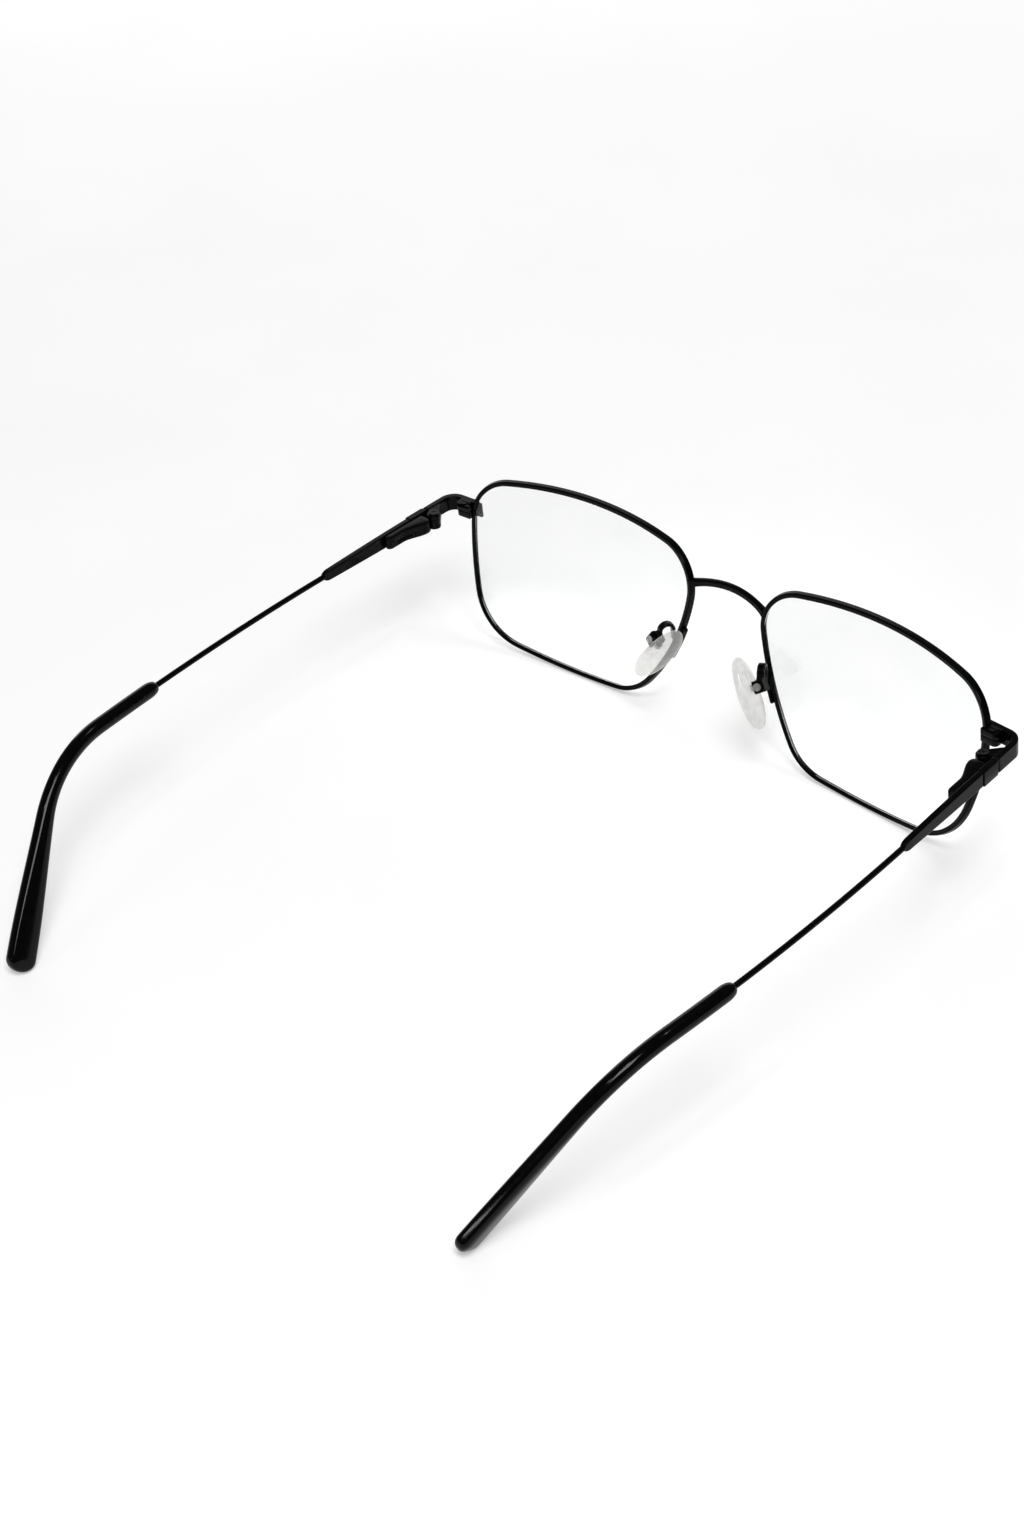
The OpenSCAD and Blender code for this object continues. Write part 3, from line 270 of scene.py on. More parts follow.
def sweep(sections, centre, u, v, edges=(0.1, 0.1), steps=4):
    """Rings of a section carried along a path: ring = centre + s0 * u + s1 * v.
    Each end is rounded by a quarter circle of the given radius, on which the section shrinks by e (1 - cos t)
    while it moves out by e (sin t - 1), and is then closed by rings drawn in to the shares CAP_SHARES."""
    centre = np.asarray(centre, float)
    m = len(centre)
    sections = np.broadcast_to(sections, (m,) + np.shape(sections)[-2:])
    u, v = np.broadcast_to(u, (m, 3)), np.broadcast_to(v, (m, 3))
    rings = centre[:, None] + sections[..., :1] * u[:, None] + sections[..., 1:] * v[:, None]
    ends = []
    for i, j, e in ((0, 1, edges[0]), (m - 1, m - 2, edges[1])):
        out = unit(centre[i] - centre[j])
        group = []
        t = np.linspace(0, np.pi / 2, steps + 1)
        for s in t:
            sec = shrunk(sections[i], e * (1 - np.cos(s)))
            group.append(centre[i] + out * e * (np.sin(s) - 1) + sec[:, :1] * u[i] + sec[:, 1:] * v[i])
        sec = shrunk(sections[i], e)
        mid = sec.mean(0)
        for k in CAP_SHARES:
            s2 = mid + (sec - mid) * k
            group.append(centre[i] + s2[:, :1] * u[i] + s2[:, 1:] * v[i])
        ends.append(np.stack(group))
    return np.concatenate([ends[0][::-1], rings[1:-1], ends[1]])


def skin(rings):
    """Vertices and quads of a surface through rings of equal count, closed at both ends by a face."""
    m, n = rings.shape[:2]
    i, j = np.meshgrid(np.arange(m - 1), np.arange(n), indexing="ij")
    a, b = i * n + j, i * n + (j + 1) % n
    quads = np.stack([a, b, b + n, a + n], -1).reshape(-1, 4)
    first, last = np.arange(n)[::-1], (m - 1) * n + np.arange(n)
    points = rings.reshape(-1, 3)
    tri = np.concatenate([quads[:, [0, 1, 2]], quads[:, [0, 2, 3]]])
    volume = np.sum(points[tri[:, 0]] * np.cross(points[tri[:, 1]], points[tri[:, 2]]))
    if volume < 0:
        quads, first, last = quads[:, ::-1], first[::-1], last[::-1]
    return points, quads, (first, last)


def piece(name, shells, left, body, nodes, slot):
    """One mesh object from shells of rings in millimetres; the right side is the left one mirrored in X."""
    flip = np.array([1 if left else -1, 1, 1])
    points, faces, base = [], [], 0
    for rings in shells:
        p, quads, caps = skin(np.asarray(rings) * flip)
        points.append(p)
        faces += (quads + base).tolist() + [(c + base).tolist() for c in caps]
        base += len(p)
    co = (np.concatenate(points) - [0, MID_Y, 0]) / MM
    mesh = bpy.data.meshes.new(name)
    mesh.from_pydata(co.tolist(), [], faces)
    mesh.polygons.foreach_set("use_smooth", np.ones(len(faces), bool))
    mesh.update()
    mesh.materials.append(SLOT_LOOK[slot])
    obj = bpy.data.objects.new(name, mesh)
    bpy.context.scene.collection.objects.link(obj)
    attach(obj, body)
    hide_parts(*nodes)


def raised(plan, z0, z1, edge):
    """Block from a plan polygon raised from z0 to z1, its top and bottom edges rounded."""
    path = [[0, 0, z0], [0, 0, (z0 + z1) / 2], [0, 0, z1]]
    return sweep(plan, path, [1, 0, 0], [0, 1, 0], (edge, edge), 3)


def turned(profile, n=48):
    """Rings of a turned part: each point (r, z) of the profile becomes the circle (r cos a, r sin a, z)."""
    q = np.asarray(profile, float)
    a = np.linspace(0, 2 * np.pi, n + 1)[:-1]
    return np.stack([q[:, :1] * np.cos(a), q[:, :1] * np.sin(a), q[:, 1:] + 0 * a], -1)


# Materials

def hex_rgb(code):
    """sRGB hex to linear: c / 12.92 below 0.04045, else ((c + 0.055) / 1.055) ** 2.4."""
    c = np.array([int(code[i:i + 2], 16) for i in (1, 3, 5)]) / 255
    lin = np.where(c <= 0.04045, c / 12.92, ((c + 0.055) / 1.055) ** 2.4)
    return (*lin.tolist(), 1.0)


def add(tree, kind, inputs=None, stops=(), **settings):
    """Adds a node, sets its properties and the places and sRGB colours of its stops, and sets or links each
    named input."""
    n = tree.nodes.new(kind)
    for key, value in settings.items():
        setattr(n, key, value)
    for number, (place, code) in enumerate(stops):
        stop = n.color_ramp.elements[number]
        stop.position, stop.color = place, hex_rgb(code)
    for key, value in (inputs or {}).items():
        if isinstance(value, bpy.types.NodeSocket):
            tree.links.new(value, n.inputs[key])
        else:
            n.inputs[key].default_value = value
    return n


def start(name):
    """New material of this name with an empty node tree."""
    m = bpy.data.materials.new(name)
    m.use_nodes = True
    m.node_tree.nodes.clear()
    return m, m.node_tree


# A noise of scale MM / s on Object coordinates has features s millimetres wide, and most of its values lie
# between these two
NOISE = {"From Min": 0.3, "From Max": 0.7}


def black_lacquer():
    """Stove lacquer on nickel alloy: sprayed and baked, so glossy, with a faint orange peel 0.5 mm wide."""
    m, t = start("black_stove_lacquer")
    where = add(t, "ShaderNodeTexCoord").outputs["Object"]
    cloud = add(t, "ShaderNodeTexNoise", {"Vector": where, "Scale": MM / 4.0, "Detail": 2.0}).outputs["Fac"]
    peel = add(t, "ShaderNodeTexNoise", {"Vector": where, "Scale": MM / 0.5, "Detail": 1.0}).outputs["Fac"]
    colour = add(t, "ShaderNodeValToRGB", {"Fac": cloud}, [(0.3, "#030304"), (0.7, "#060607")])
    rough = add(t, "ShaderNodeMapRange", {"Value": cloud, **NOISE, "To Min": 0.12, "To Max": 0.17})
    bump = add(t, "ShaderNodeBump", {"Height": peel, "Strength": 0.12, "Distance": 0.02 / MM})
    paint = add(t, "ShaderNodeBsdfPrincipled", {
        "Base Color": colour.outputs["Color"], "Roughness": rough.outputs["Result"],
        "IOR": 1.5, "Specular IOR Level": 0.075, "Normal": bump.outputs["Normal"]})
    add(t, "ShaderNodeOutputMaterial", {"Surface": paint.outputs["BSDF"]})
    return m


def black_acetate():
    """Cellulose acetate sleeve: injection moulded and tumble polished, deep black and wet looking, with slow
    waves."""
    m, t = start("polished_black_acetate")
    where = add(t, "ShaderNodeTexCoord").outputs["Object"]
    wave = add(t, "ShaderNodeTexNoise", {"Vector": where, "Scale": MM / 9.0, "Detail": 1.0}).outputs["Fac"]
    haze = add(t, "ShaderNodeTexNoise", {"Vector": where, "Scale": MM / 1.2, "Detail": 3.0}).outputs["Fac"]
    colour = add(t, "ShaderNodeValToRGB", {"Fac": haze}, [(0.3, "#020203"), (0.75, "#050506")])
    rough = add(t, "ShaderNodeMapRange", {"Value": haze, **NOISE, "To Min": 0.08, "To Max": 0.12})
    bump = add(t, "ShaderNodeBump", {"Height": wave, "Strength": 0.05, "Distance": 0.08 / MM})
    sleeve = add(t, "ShaderNodeBsdfPrincipled", {
        "Base Color": colour.outputs["Color"], "Roughness": rough.outputs["Result"],
        "IOR": 1.48, "Specular IOR Level": 0.15, "Normal": bump.outputs["Normal"]})
    add(t, "ShaderNodeOutputMaterial", {"Surface": sleeve.outputs["BSDF"]})
    return m


def lens_resin():
    """Optical resin, cast and polished: light passes with a slight tint, and the lens's shadow is only a
    little darker than the ground."""
    m, t = start("clear_lens_resin")
    where = add(t, "ShaderNodeTexCoord").outputs["Object"]
    haze = add(t, "ShaderNodeTexNoise", {"Vector": where, "Scale": MM / 12.0, "Detail": 2.0}).outputs["Fac"]
    tint = add(t, "ShaderNodeValToRGB", {"Fac": haze}, [(0.3, "#f5f6f6"), (0.7, "#fafafa")])
    rough = add(t, "ShaderNodeMapRange", {"Value": haze, **NOISE, "To Min": 0.01, "To Max": 0.02})
    resin = add(t, "ShaderNodeBsdfPrincipled", {
        "Base Color": tint.outputs["Color"], "Roughness": rough.outputs["Result"],
        "IOR": 1.5, "Transmission Weight": 1.0})
    path = add(t, "ShaderNodeLightPath")
    shade = add(t, "ShaderNodeBsdfTransparent", {"Color": hex_rgb("#f7f7f7")})
    lens = add(t, "ShaderNodeMixShader", {
        0: path.outputs["Is Shadow Ray"], 1: resin.outputs["BSDF"], 2: shade.outputs["BSDF"]})
    add(t, "ShaderNodeOutputMaterial", {"Surface": lens.outputs["Shader"]})
    return m


def clear_moulding(name, low, high, size_mm, ior, rough, cloud):
    """Clear moulding a few millimetres thick. Light goes straight through it, unbent, with a tint at each
    face, a share of it (cloud) is scattered, and on the outer side a sheen grows towards the edges by
    Fresnel's law."""
    m, t = start(name)
    where = add(t, "ShaderNodeTexCoord").outputs["Object"]
    scale = MM / size_mm
    haze = add(t, "ShaderNodeTexNoise", {"Vector": where, "Scale": scale, "Detail": 2.0}).outputs["Fac"]
    tint = add(t, "ShaderNodeValToRGB", {"Fac": haze}, [(0.35, low), (0.65, high)])
    through = add(t, "ShaderNodeBsdfTransparent", {"Color": tint.outputs["Color"]})
    scatter = add(t, "ShaderNodeBsdfTranslucent", {"Color": hex_rgb("#f4f4f3")})
    body = add(t, "ShaderNodeMixShader", {0: cloud, 1: through.outputs["BSDF"], 2: scatter.outputs["BSDF"]})
    sheen = add(t, "ShaderNodeBsdfAnisotropic", {"Color": hex_rgb("#ffffff"), "Roughness": rough},
                distribution="GGX")
    edge = add(t, "ShaderNodeFresnel", {"IOR": ior})
    side = add(t, "ShaderNodeNewGeometry")
    outside = add(t, "ShaderNodeMath", {0: edge.outputs["Fac"], 1: side.outputs["Backfacing"]},
                  operation="SUBTRACT", use_clamp=True)
    skin_mix = add(t, "ShaderNodeMixShader", {
        0: outside.outputs["Value"], 1: body.outputs["Shader"], 2: sheen.outputs["BSDF"]})
    add(t, "ShaderNodeOutputMaterial", {"Surface": skin_mix.outputs["Shader"]})
    return m


def turned_steel(name, low, high, rough_low, rough_high):
    """Small screws, sliders and springs: steel turned from bar, with fine marks about 0.15 mm apart, which
    soften its shine. They are finer than a pixel of the main view, so they aren't seen one by one."""
    m, t = start(name)
    where = add(t, "ShaderNodeTexCoord").outputs["Object"]
    grain = add(t, "ShaderNodeTexNoise", {"Vector": where, "Scale": MM / 0.15, "Detail": 2.0}).outputs["Fac"]
    colour = add(t, "ShaderNodeValToRGB", {"Fac": grain}, [(0.3, low), (0.7, high)])
    rough = add(t, "ShaderNodeMapRange", {"Value": grain, **NOISE, "To Min": rough_low, "To Max": rough_high})
    bump = add(t, "ShaderNodeBump", {"Height": grain, "Strength": 0.2, "Distance": 0.01 / MM})
    steel = add(t, "ShaderNodeBsdfPrincipled", {
        "Base Color": colour.outputs["Color"], "Metallic": 1.0, "Roughness": rough.outputs["Result"],
        "Normal": bump.outputs["Normal"]})
    add(t, "ShaderNodeOutputMaterial", {"Surface": steel.outputs["BSDF"]})
    return m


# Blackened steel of the hinge screws, closing screws and sliders
DARK_STEEL = turned_steel("blackened_screw_steel", "#101011", "#1c1c1e", 0.3, 0.42)
SLOT_LOOK = {
    "frame_paint": black_lacquer(),
    "tip_acetate": black_acetate(),
    "lens": lens_resin(),
    "dark_screw": DARK_STEEL,
    # Bright steel of the springs and pad screws
    "steel": turned_steel("turned_bright_steel", "#a9a9a6", "#c9c9c6", 0.24, 0.36),
    # Hard clear insert in the pad, with the eye for its screw
    "pad_insert": clear_moulding("moulded_pad_insert", "#d2d2d0", "#ebebe9", 0.7, 1.2, 0.2, 0.0),
    # Tumbled silicone, slightly cloudy
    "pad_silicone": clear_moulding("clear_pad_silicone", "#ecebea", "#f4f4f3", 1.2, 1.41, 0.12, 0.22),
}

# Eyewires and lenses

STATIONS = lens_outline(3)
half_t, half_d = WIRE_T / 2, WIRE_D / 2
# The wire's outer and front faces stay a little inside the box of the solids
wire_out, wire_front = half_t - 0.03, 0.035 - half_d
# Corner radii of the wire's outer edges, its inner edges and the groove
OUTER_EDGE, INNER_EDGE, GROOVE_EDGE = 0.3, 0.18, 0.04
wire_section = rounded(
    [[wire_out, wire_front], [wire_out, half_d], [-half_t, half_d], [-half_t, GROOVE_W / 2],
     [-half_t + GROOVE_D, 0], [-half_t, -GROOVE_W / 2], [-half_t, wire_front]],
    [OUTER_EDGE, OUTER_EDGE, INNER_EDGE, GROOVE_EDGE, GROOVE_EDGE, GROOVE_EDGE, INNER_EDGE], 5, 0.03)


def eyewire_rings():
    """The wire's rounded, grooved section at each station: s0 outwards and s1 back, on the base sphere."""
    base = placed(lens_point(STATIONS, 0, 0))
    out = placed(lens_point(STATIONS, 1, 0)) - base
    back = placed(lens_point(STATIONS, 0, 1)) - base
    return sweep(wire_section, base, out, back, (0.05, 0.05), 2)


def lens_rings():
    """Two spherical faces 1.3 mm apart, from a small ring at the centre to the bevelled edge and back.
    A point at share k of the way to the edge is (k x, sag, k z) moved along the sphere's normal."""
    edge_n, tip_n = -half_t - LENS_CLEAR, -half_t + GROOVE_D - LENS_CLEAR
    s = STATIONS[:-1]
    p = lens_point(s, edge_n, 0)
    bevel = min(GROOVE_W / 2, LENS_T / 2) * (tip_n - edge_n) / GROOVE_D

    def inner(k, b):
        """Ring at share k of the way to the edge, moved by b along the sphere's normal."""
        x, z = p[:, 0] * k, p[:, 2] * k
        return placed(np.stack([x, sag(x, z), z], 1) + b * sphere_normal(x, z))

    shares = np.concatenate([[0.004], np.linspace(0.06, 0.98, 24), [0.995, 1.0]])
    front = [inner(k, -LENS_T / 2) for k in shares]
    rear = [inner(k, LENS_T / 2) for k in shares[::-1]]
    rim = [inner(1, -bevel), placed(lens_point(s, tip_n, 0)), inner(1, bevel)]
    return np.stack(front + rim + rear)


# Bridge

# Depth by which the bridge's ends reach into the wire
BRIDGE_BITE = 0.4
bridge_station = corner_point(1, 180 - BRIDGE_ANGLE)
BRIDGE_END = placed(lens_point(bridge_station, half_t - BRIDGE_BITE, 0))[0]


def bridge_rings():
    """Centre line (x t, y - bow (1 - t t), z + rise (1 - t t)) for t from -1 to 1, with a rounded bar's
    section that grows by flare |t| ** 8 at its ends."""
    t = np.linspace(-1, 1, 65)
    arch = 1 - t * t
    x, y, z = BRIDGE_END
    c = np.stack([x * t, y - BRIDGE_BOW * arch, z + BRIDGE_RISE * arch], 1)
    along = unit(np.stack([x + 0 * t, 2 * BRIDGE_BOW * t, -2 * BRIDGE_RISE * t], 1))
    thick = unit(np.array([0, 1, 0]) - along[:, 1:2] * along)
    tall = np.cross(along, thick)
    grow = 1 + BRIDGE_FLARE * np.abs(t) ** 8
    sec = block_section(BRIDGE_T / 2, BRIDGE_H / 2, 0.5, 7)[None] * grow[:, None, None]
    return sweep(sec, c, thick, tall, (0.15, 0.15))


# End pieces

line_a = SLIT_AT + turn_z([-END_LAP, END_T / 2 - PLATE_AHEAD, 0], PLATE_SLANT)
dir_a = np.array([cosd(PLATE_SLANT), sind(PLATE_SLANT)])
line_b = hinge_point([PIVOT_INSET, SEAM_Y, 0])
dir_b = np.array([sind(TEMPLE_SPLAY), cosd(TEMPLE_SPLAY)])
reach_a = np.cross(line_b[:2] - line_a[:2], dir_b) / np.cross(dir_a, dir_b)
end_corner = line_a[:2] + reach_a * dir_a
end_turn = 90 - TEMPLE_SPLAY - PLATE_SLANT
setback = END_BEND_R * np.tan(np.radians(end_turn / 2))
end_centre = end_corner - setback * dir_a + END_BEND_R * np.array([-dir_a[1], dir_a[0]])


def end_piece_rings():
    """Flat bar on edge: straight in front of the eyewire, round a bend of END_BEND_R, straight back to the
    seam. Where it laps the eyewire, only its front half remains."""
    # Clearances beside the wire and before it, the bar's edge radius and the rounding of its two ends
    beside, before, edge_r, end_r = 0.08, 0.06, 0.16, (0.14, 0.12)
    lap_end = END_LAP + half_t + beside
    lapped = [0, 0.25, 0.5, lap_end - 0.05]
    run = np.linalg.norm(end_corner - setback * dir_a - line_a[:2])
    straight = np.array(lapped + [lap_end, lap_end + 0.3, 4.0, run * 0.9])
    a = PLATE_SLANT - 90 + end_turn * np.linspace(0, 1, 25)
    arc = end_centre + END_BEND_R * np.stack([cosd(a), sind(a)], 1)
    tail = line_b[:2] - np.array([1.5, 0.6, 0])[:, None] * dir_b
    plan = np.concatenate([line_a[:2] + straight[:, None] * dir_a, arc, tail])
    right = np.concatenate([np.tile([dir_a[1], -dir_a[0]], (len(straight), 1)),
                            np.stack([cosd(a), sind(a)], 1),
                            np.tile([dir_b[1], -dir_b[0]], (len(tail), 1))])
    outer = END_T / 2
    inner = np.full(len(plan), -outer)
    inner[:len(lapped)] = outer - (PLATE_AHEAD - half_d - before)
    secs = np.stack([block_section((outer - i) / 2, END_H / 2, edge_r) + [(i + outer) / 2, 0] for i in inner])
    c = np.concatenate([plan, np.full((len(plan), 1), PIVOT_AT[2])], 1)
    u = np.concatenate([right, np.zeros((len(plan), 1))], 1)
    return sweep(secs, c, u, [0, 0, 1], end_r)


# Closing blocks

def block_rings(low, high):
    """Plan with a lip behind the eyewire and a rounded outer end, raised between two heights."""
    # Gaps beside and behind the wire, the plan's corner radii and the radius of its top and bottom edges
    beside, behind_gap, edge_r = 0.2, 0.45, 0.12
    corner_r = [0.08, 0.2, 0.9, 0.15, 0.1, 0.06]
    out = half_t + beside
    front = END_T - PLATE_AHEAD + SEAT
    back, right, lip = front + BLOCK_L, out + BLOCK_W, out - BLOCK_WRAP
    behind = half_d + behind_gap
    plan = rounded([[out, front], [right, front], [right, back], [lip, back], [lip, behind], [out, behind]],
                   corner_r, 7, 0.03)
    return SLIT_AT + turn_z(raised(plan, low, high, edge_r), PLATE_SLANT)


# Hinge leaf

def knuckle_profile(near, far):
    """Profile of a turned knuckle from its face by the slider's eye to its outer face, both edges rounded."""
    e, k = 0.08, np.sign(far - near)
    soft = 0.3 * e
    r = KNUCKLE_R
    return [[POLE_R, near], [r - e, near], [r - soft, near + k * soft], [r, near + k * e],
            [r, far - k * e], [r - soft, far - k * soft], [r - e, far]]


def hinge_leaf_shells():
    """Plate on the end piece with two prongs, and a turned knuckle on each prong. The knuckles lean by
    HINGE_TILT, and the lower one shows the screw's bore."""
    x = PIVOT_INSET - END_T / 2 - SEAT
    gap_z = EYE_H / 2 + KNUCKLE_GAP
    top, bottom = KNUCKLE_H / 2, INSET - KNUCKLE_H / 2
    # Corners of a prong round the screw, its corner radii and edge radius
    prong_end = [[0.4, 0], [-1.12, -0.84], [-0.56, -1.26]]
    prong_r, prong_edge = [0.12, 0.12, 0.3, 0.2, 0.2], 0.08
    # Web between the prongs: radius and angles of its hollow side, its lap into the prongs, its edge radius
    web_r, web_from, web_to, web_lap, web_edge = 1.55, -13, -101.4, 0.1, 0.02
    # Clearance of the bore round the screw, and the part of its depth that is seen
    bore_clear, bore_depth = 0.04, 0.3
    prong = rounded([[x, SEAM_Y - LEAF_L], [x, SEAM_Y]] + prong_end, prong_r, 4, 0.03)
    a = np.radians(np.linspace(web_from, web_to, 16))
    web = np.concatenate([[[x, SEAM_Y - LEAF_L + 0.1], [x, SEAM_Y]],
                          web_r * np.stack([np.cos(a), np.sin(a)], 1)])
    blocks = [raised(prong, gap_z, top, prong_edge), raised(prong, bottom, -gap_z, prong_edge),
              raised(web, -gap_z - web_lap, gap_z + web_lap, web_edge)]
    bore, bore_top = HINGE_SCREW_R + bore_clear, bore_depth - KNUCKLE_H / 2
    upper = knuckle_profile(gap_z, top) + [[POLE_R, top]]
    lower = knuckle_profile(-gap_z, bottom) + [[bore, bottom], [bore, bore_top], [POLE_R, bore_top]]
    knuckles = [tilt_x(turned(q), HINGE_TILT) for q in (upper, lower)]
    return [hinge_point(rings) for rings in blocks + knuckles]


# Spring box

def spring_box_rings():
    """Rounded box beside the bar: its inner side lies at -BOX_FRONT_IN by the knuckles and sweeps to
    BOX_REAR_OUT over the smooth step t t (3 - 2 t), its rear end is round, 1 - sqrt(1 - s s), and a dish is
    pressed into the inner side, as deep as the distance from its slot's middle line allows."""
    sweep_l, round_l, section_r = 5.6, 1.2, 0.34
    dish_depth, dish_at, dish_half, dish_r = 0.28, 7.9, 1.9, 0.5
    # Distance in dish radii at which the dish begins, and the width over which it deepens
    dish_rim, dish_fade = 1.12, 0.24
    # How far the inner side is drawn in at the two foremost stations, and the half height lost at the rear
    front_pull, rear_drop = [0.5, 0.22], 0.35
    # Greatest share of the width that a corner takes, and the flat kept beside each corner
    corner_share, flat = 0.35, 0.03
    outer = BAR_IN - SEAT
    sweep_from, round_from = BOX_FRONT + 1, BOX_REAR - round_l
    y = np.concatenate([[BOX_FRONT, BOX_FRONT + 0.3], sweep_from + sweep_l * np.linspace(0, 1, 36),
                        np.linspace(BOX_FRONT + 6.7, round_from, 24),
                        round_from + round_l * sind(np.linspace(8, 84, 10))])
    t = np.clip((y - BOX_FRONT - 1) / sweep_l, 0, 1)
    inner = -BOX_FRONT_IN + (BOX_FRONT_IN + BOX_REAR_OUT) * t * t * (3 - 2 * t)
    inner[:2] += front_pull
    tail = 1 - np.sqrt(1 - np.clip((y - round_from) / round_l, 0, 1) ** 2)
    pull = (outer - BOX_REAR_OUT) / 2 * tail
    half = BOX_H / 2 - rear_drop * tail
    arc = np.radians(np.linspace(0, 90, 6))
    secs = []
    for lo, hi, h, at in zip(inner + pull, outer - pull, half, y):
        r = min(section_r, (hi - lo) * corner_share)
        corner = r * np.stack([np.cos(arc), np.sin(arc)], 1)
        z = np.linspace(h - r - flat, r + flat - h, 25)
        away = np.hypot(np.maximum(abs(at - dish_at) - dish_half, 0), z) / dish_r
        dish = dish_depth * np.clip((dish_rim - away) / dish_fade, 0, 1)
        secs.append(np.concatenate([
            [hi - r, r - h] + corner[::-1] * [1, -1], [hi - r, h - r] + corner,
            [lo + r, h - r] + corner[::-1] * [-1, 1], np.stack([lo + dish, z], 1), [lo + r, r - h] - corner]))
    centre = np.stack([0 * y, y, 0 * y], 1)
    return hinge_point(sweep(np.stack(secs), centre, [1, 0, 0], [0, 0, 1], (0.2, 0.05)))


# Temple bar and its head

def bar_rings():
    """Flat bar on edge whose height falls from BAR_H to BAR_END_H as share ** 1.6, with a rounded pointed
    rear end."""
    # Length of the pointed end, the gap to the head and the power of the fall in height
    tail_l, head_gap, fall_power = 1.6, 0.06, 1.6
    # Share of the squared half height lost at the point, the half thickness lost there in millimetres, the
    # edge radius and the rounding of both ends
    point_h, point_t, edge_r, end_r = 0.93, 0.1, 0.22, (0.1, 0.12)
    start_y = HEAD_L + HEAD_FRONT
    y0, y1 = start_y + head_gap, BAR_L - tail_l
    y = np.concatenate([[y0, y0 + 0.4], np.linspace(y0 + 1.5, y1, 18),
                        y1 + tail_l * sind(np.linspace(12, 80, 8))])
    t = np.clip((y - start_y) / (y1 - start_y), 0, 1)
    tail = np.clip((y - y1) / tail_l, 0, 1)
    half = (BAR_H / 2 - (BAR_H - BAR_END_H) / 2 * t ** fall_power) * np.sqrt(1 - tail ** 2 * point_h)
    thick = BAR_T / 2 - point_t * tail
    secs = np.stack([block_section(b, h, min(edge_r, h * 0.5)) for b, h in zip(thick, half)])
    centre = np.stack([PIVOT_INSET + 0 * y, y, 0 * y], 1)
    return hinge_point(sweep(secs, centre, [1, 0, 0], [0, 0, 1], end_r))


def head_rings():
    """Front length of the bar, a little thicker and taller, with a broad bevel at the hinge seam."""
    x = BAR_IN + BAR_T + HEAD_PROUD
    y0, y1 = HEAD_FRONT, HEAD_FRONT + HEAD_L
    # Bevel across and along the bar, the plan's corner radii and its edge radius
    bevel_x, bevel_y, corner_r, edge_r = 0.3, 0.62, [0.1, 0.06, 0.12, 0.12, 0.1], 0.16
    plan = rounded([[BAR_IN, y0], [x - bevel_x, y0], [x, y0 + bevel_y], [x, y1], [BAR_IN, y1]],
                   corner_r, 4, 0.03)
    return hinge_point(raised(plan, -HEAD_H / 2, HEAD_H / 2, edge_r))


# Temple wire and tip

BOW_R = WIRE_L / np.radians(WIRE_BOW)
BOW_CENTRE = np.array([PIVOT_INSET - BOW_R, BAR_L, 0])
BEND_L = EAR_R * np.radians(EAR_ANGLE)


def tip_line(l):
    """Centre, direction and side vector at length l from the ear bend: an arc of the temple's bow before it,
    an arc of EAR_R in the leaning plane, then straight."""
    l = np.asarray(l, float)
    a = np.where(l < 0, WIRE_BOW + np.degrees(l / BOW_R), WIRE_BOW)
    at = BOW_CENTRE + BOW_R * np.stack([cosd(a), sind(a), 0 * a], 1)
    along = np.stack([-sind(a), cosd(a), 0 * a], 1)
    side = np.stack([-sind(EAR_LEAN) * cosd(a), -sind(EAR_LEAN) * sind(a), -cosd(EAR_LEAN) + 0 * a], 1)
    b = np.degrees(np.clip(l, 0, BEND_L) / EAR_R)[:, None]
    p = at + EAR_R * (sind(b) * along + (1 - cosd(b)) * side)
    d, s = cosd(b) * along + sind(b) * side, cosd(b) * side - sind(b) * along
    return p + np.clip(l - BEND_L, 0, None)[:, None] * d, d, s


def wire_rings():
    """Circle of radius WIRE_R carried along tip_line, the temple's bow, from the bar's end into the
    sleeve."""
    l = np.linspace(-WIRE_L - 0.8, -TIP_LEAD + 3.0, 60)
    p, d, s = tip_line(l)
    t = np.linspace(0, 2 * np.pi, 25)[:-1]
    sec = WIRE_R * np.stack([np.cos(t), np.sin(t)], 1)
    return hinge_point(sweep(sec, p, np.cross(d, s), s, (0.1, 0.1)))


# End of the sleeve as a length from the ear bend, and its rounded nose and end
TIP_END = 51.9913
NOSE_L, ROUND_L = 2.4, 2.4
# Half width and half height as shares of the source's sizes, a little under a half to stay inside its box
WIDTH_SHARE, HEIGHT_SHARE = 0.478, 0.46


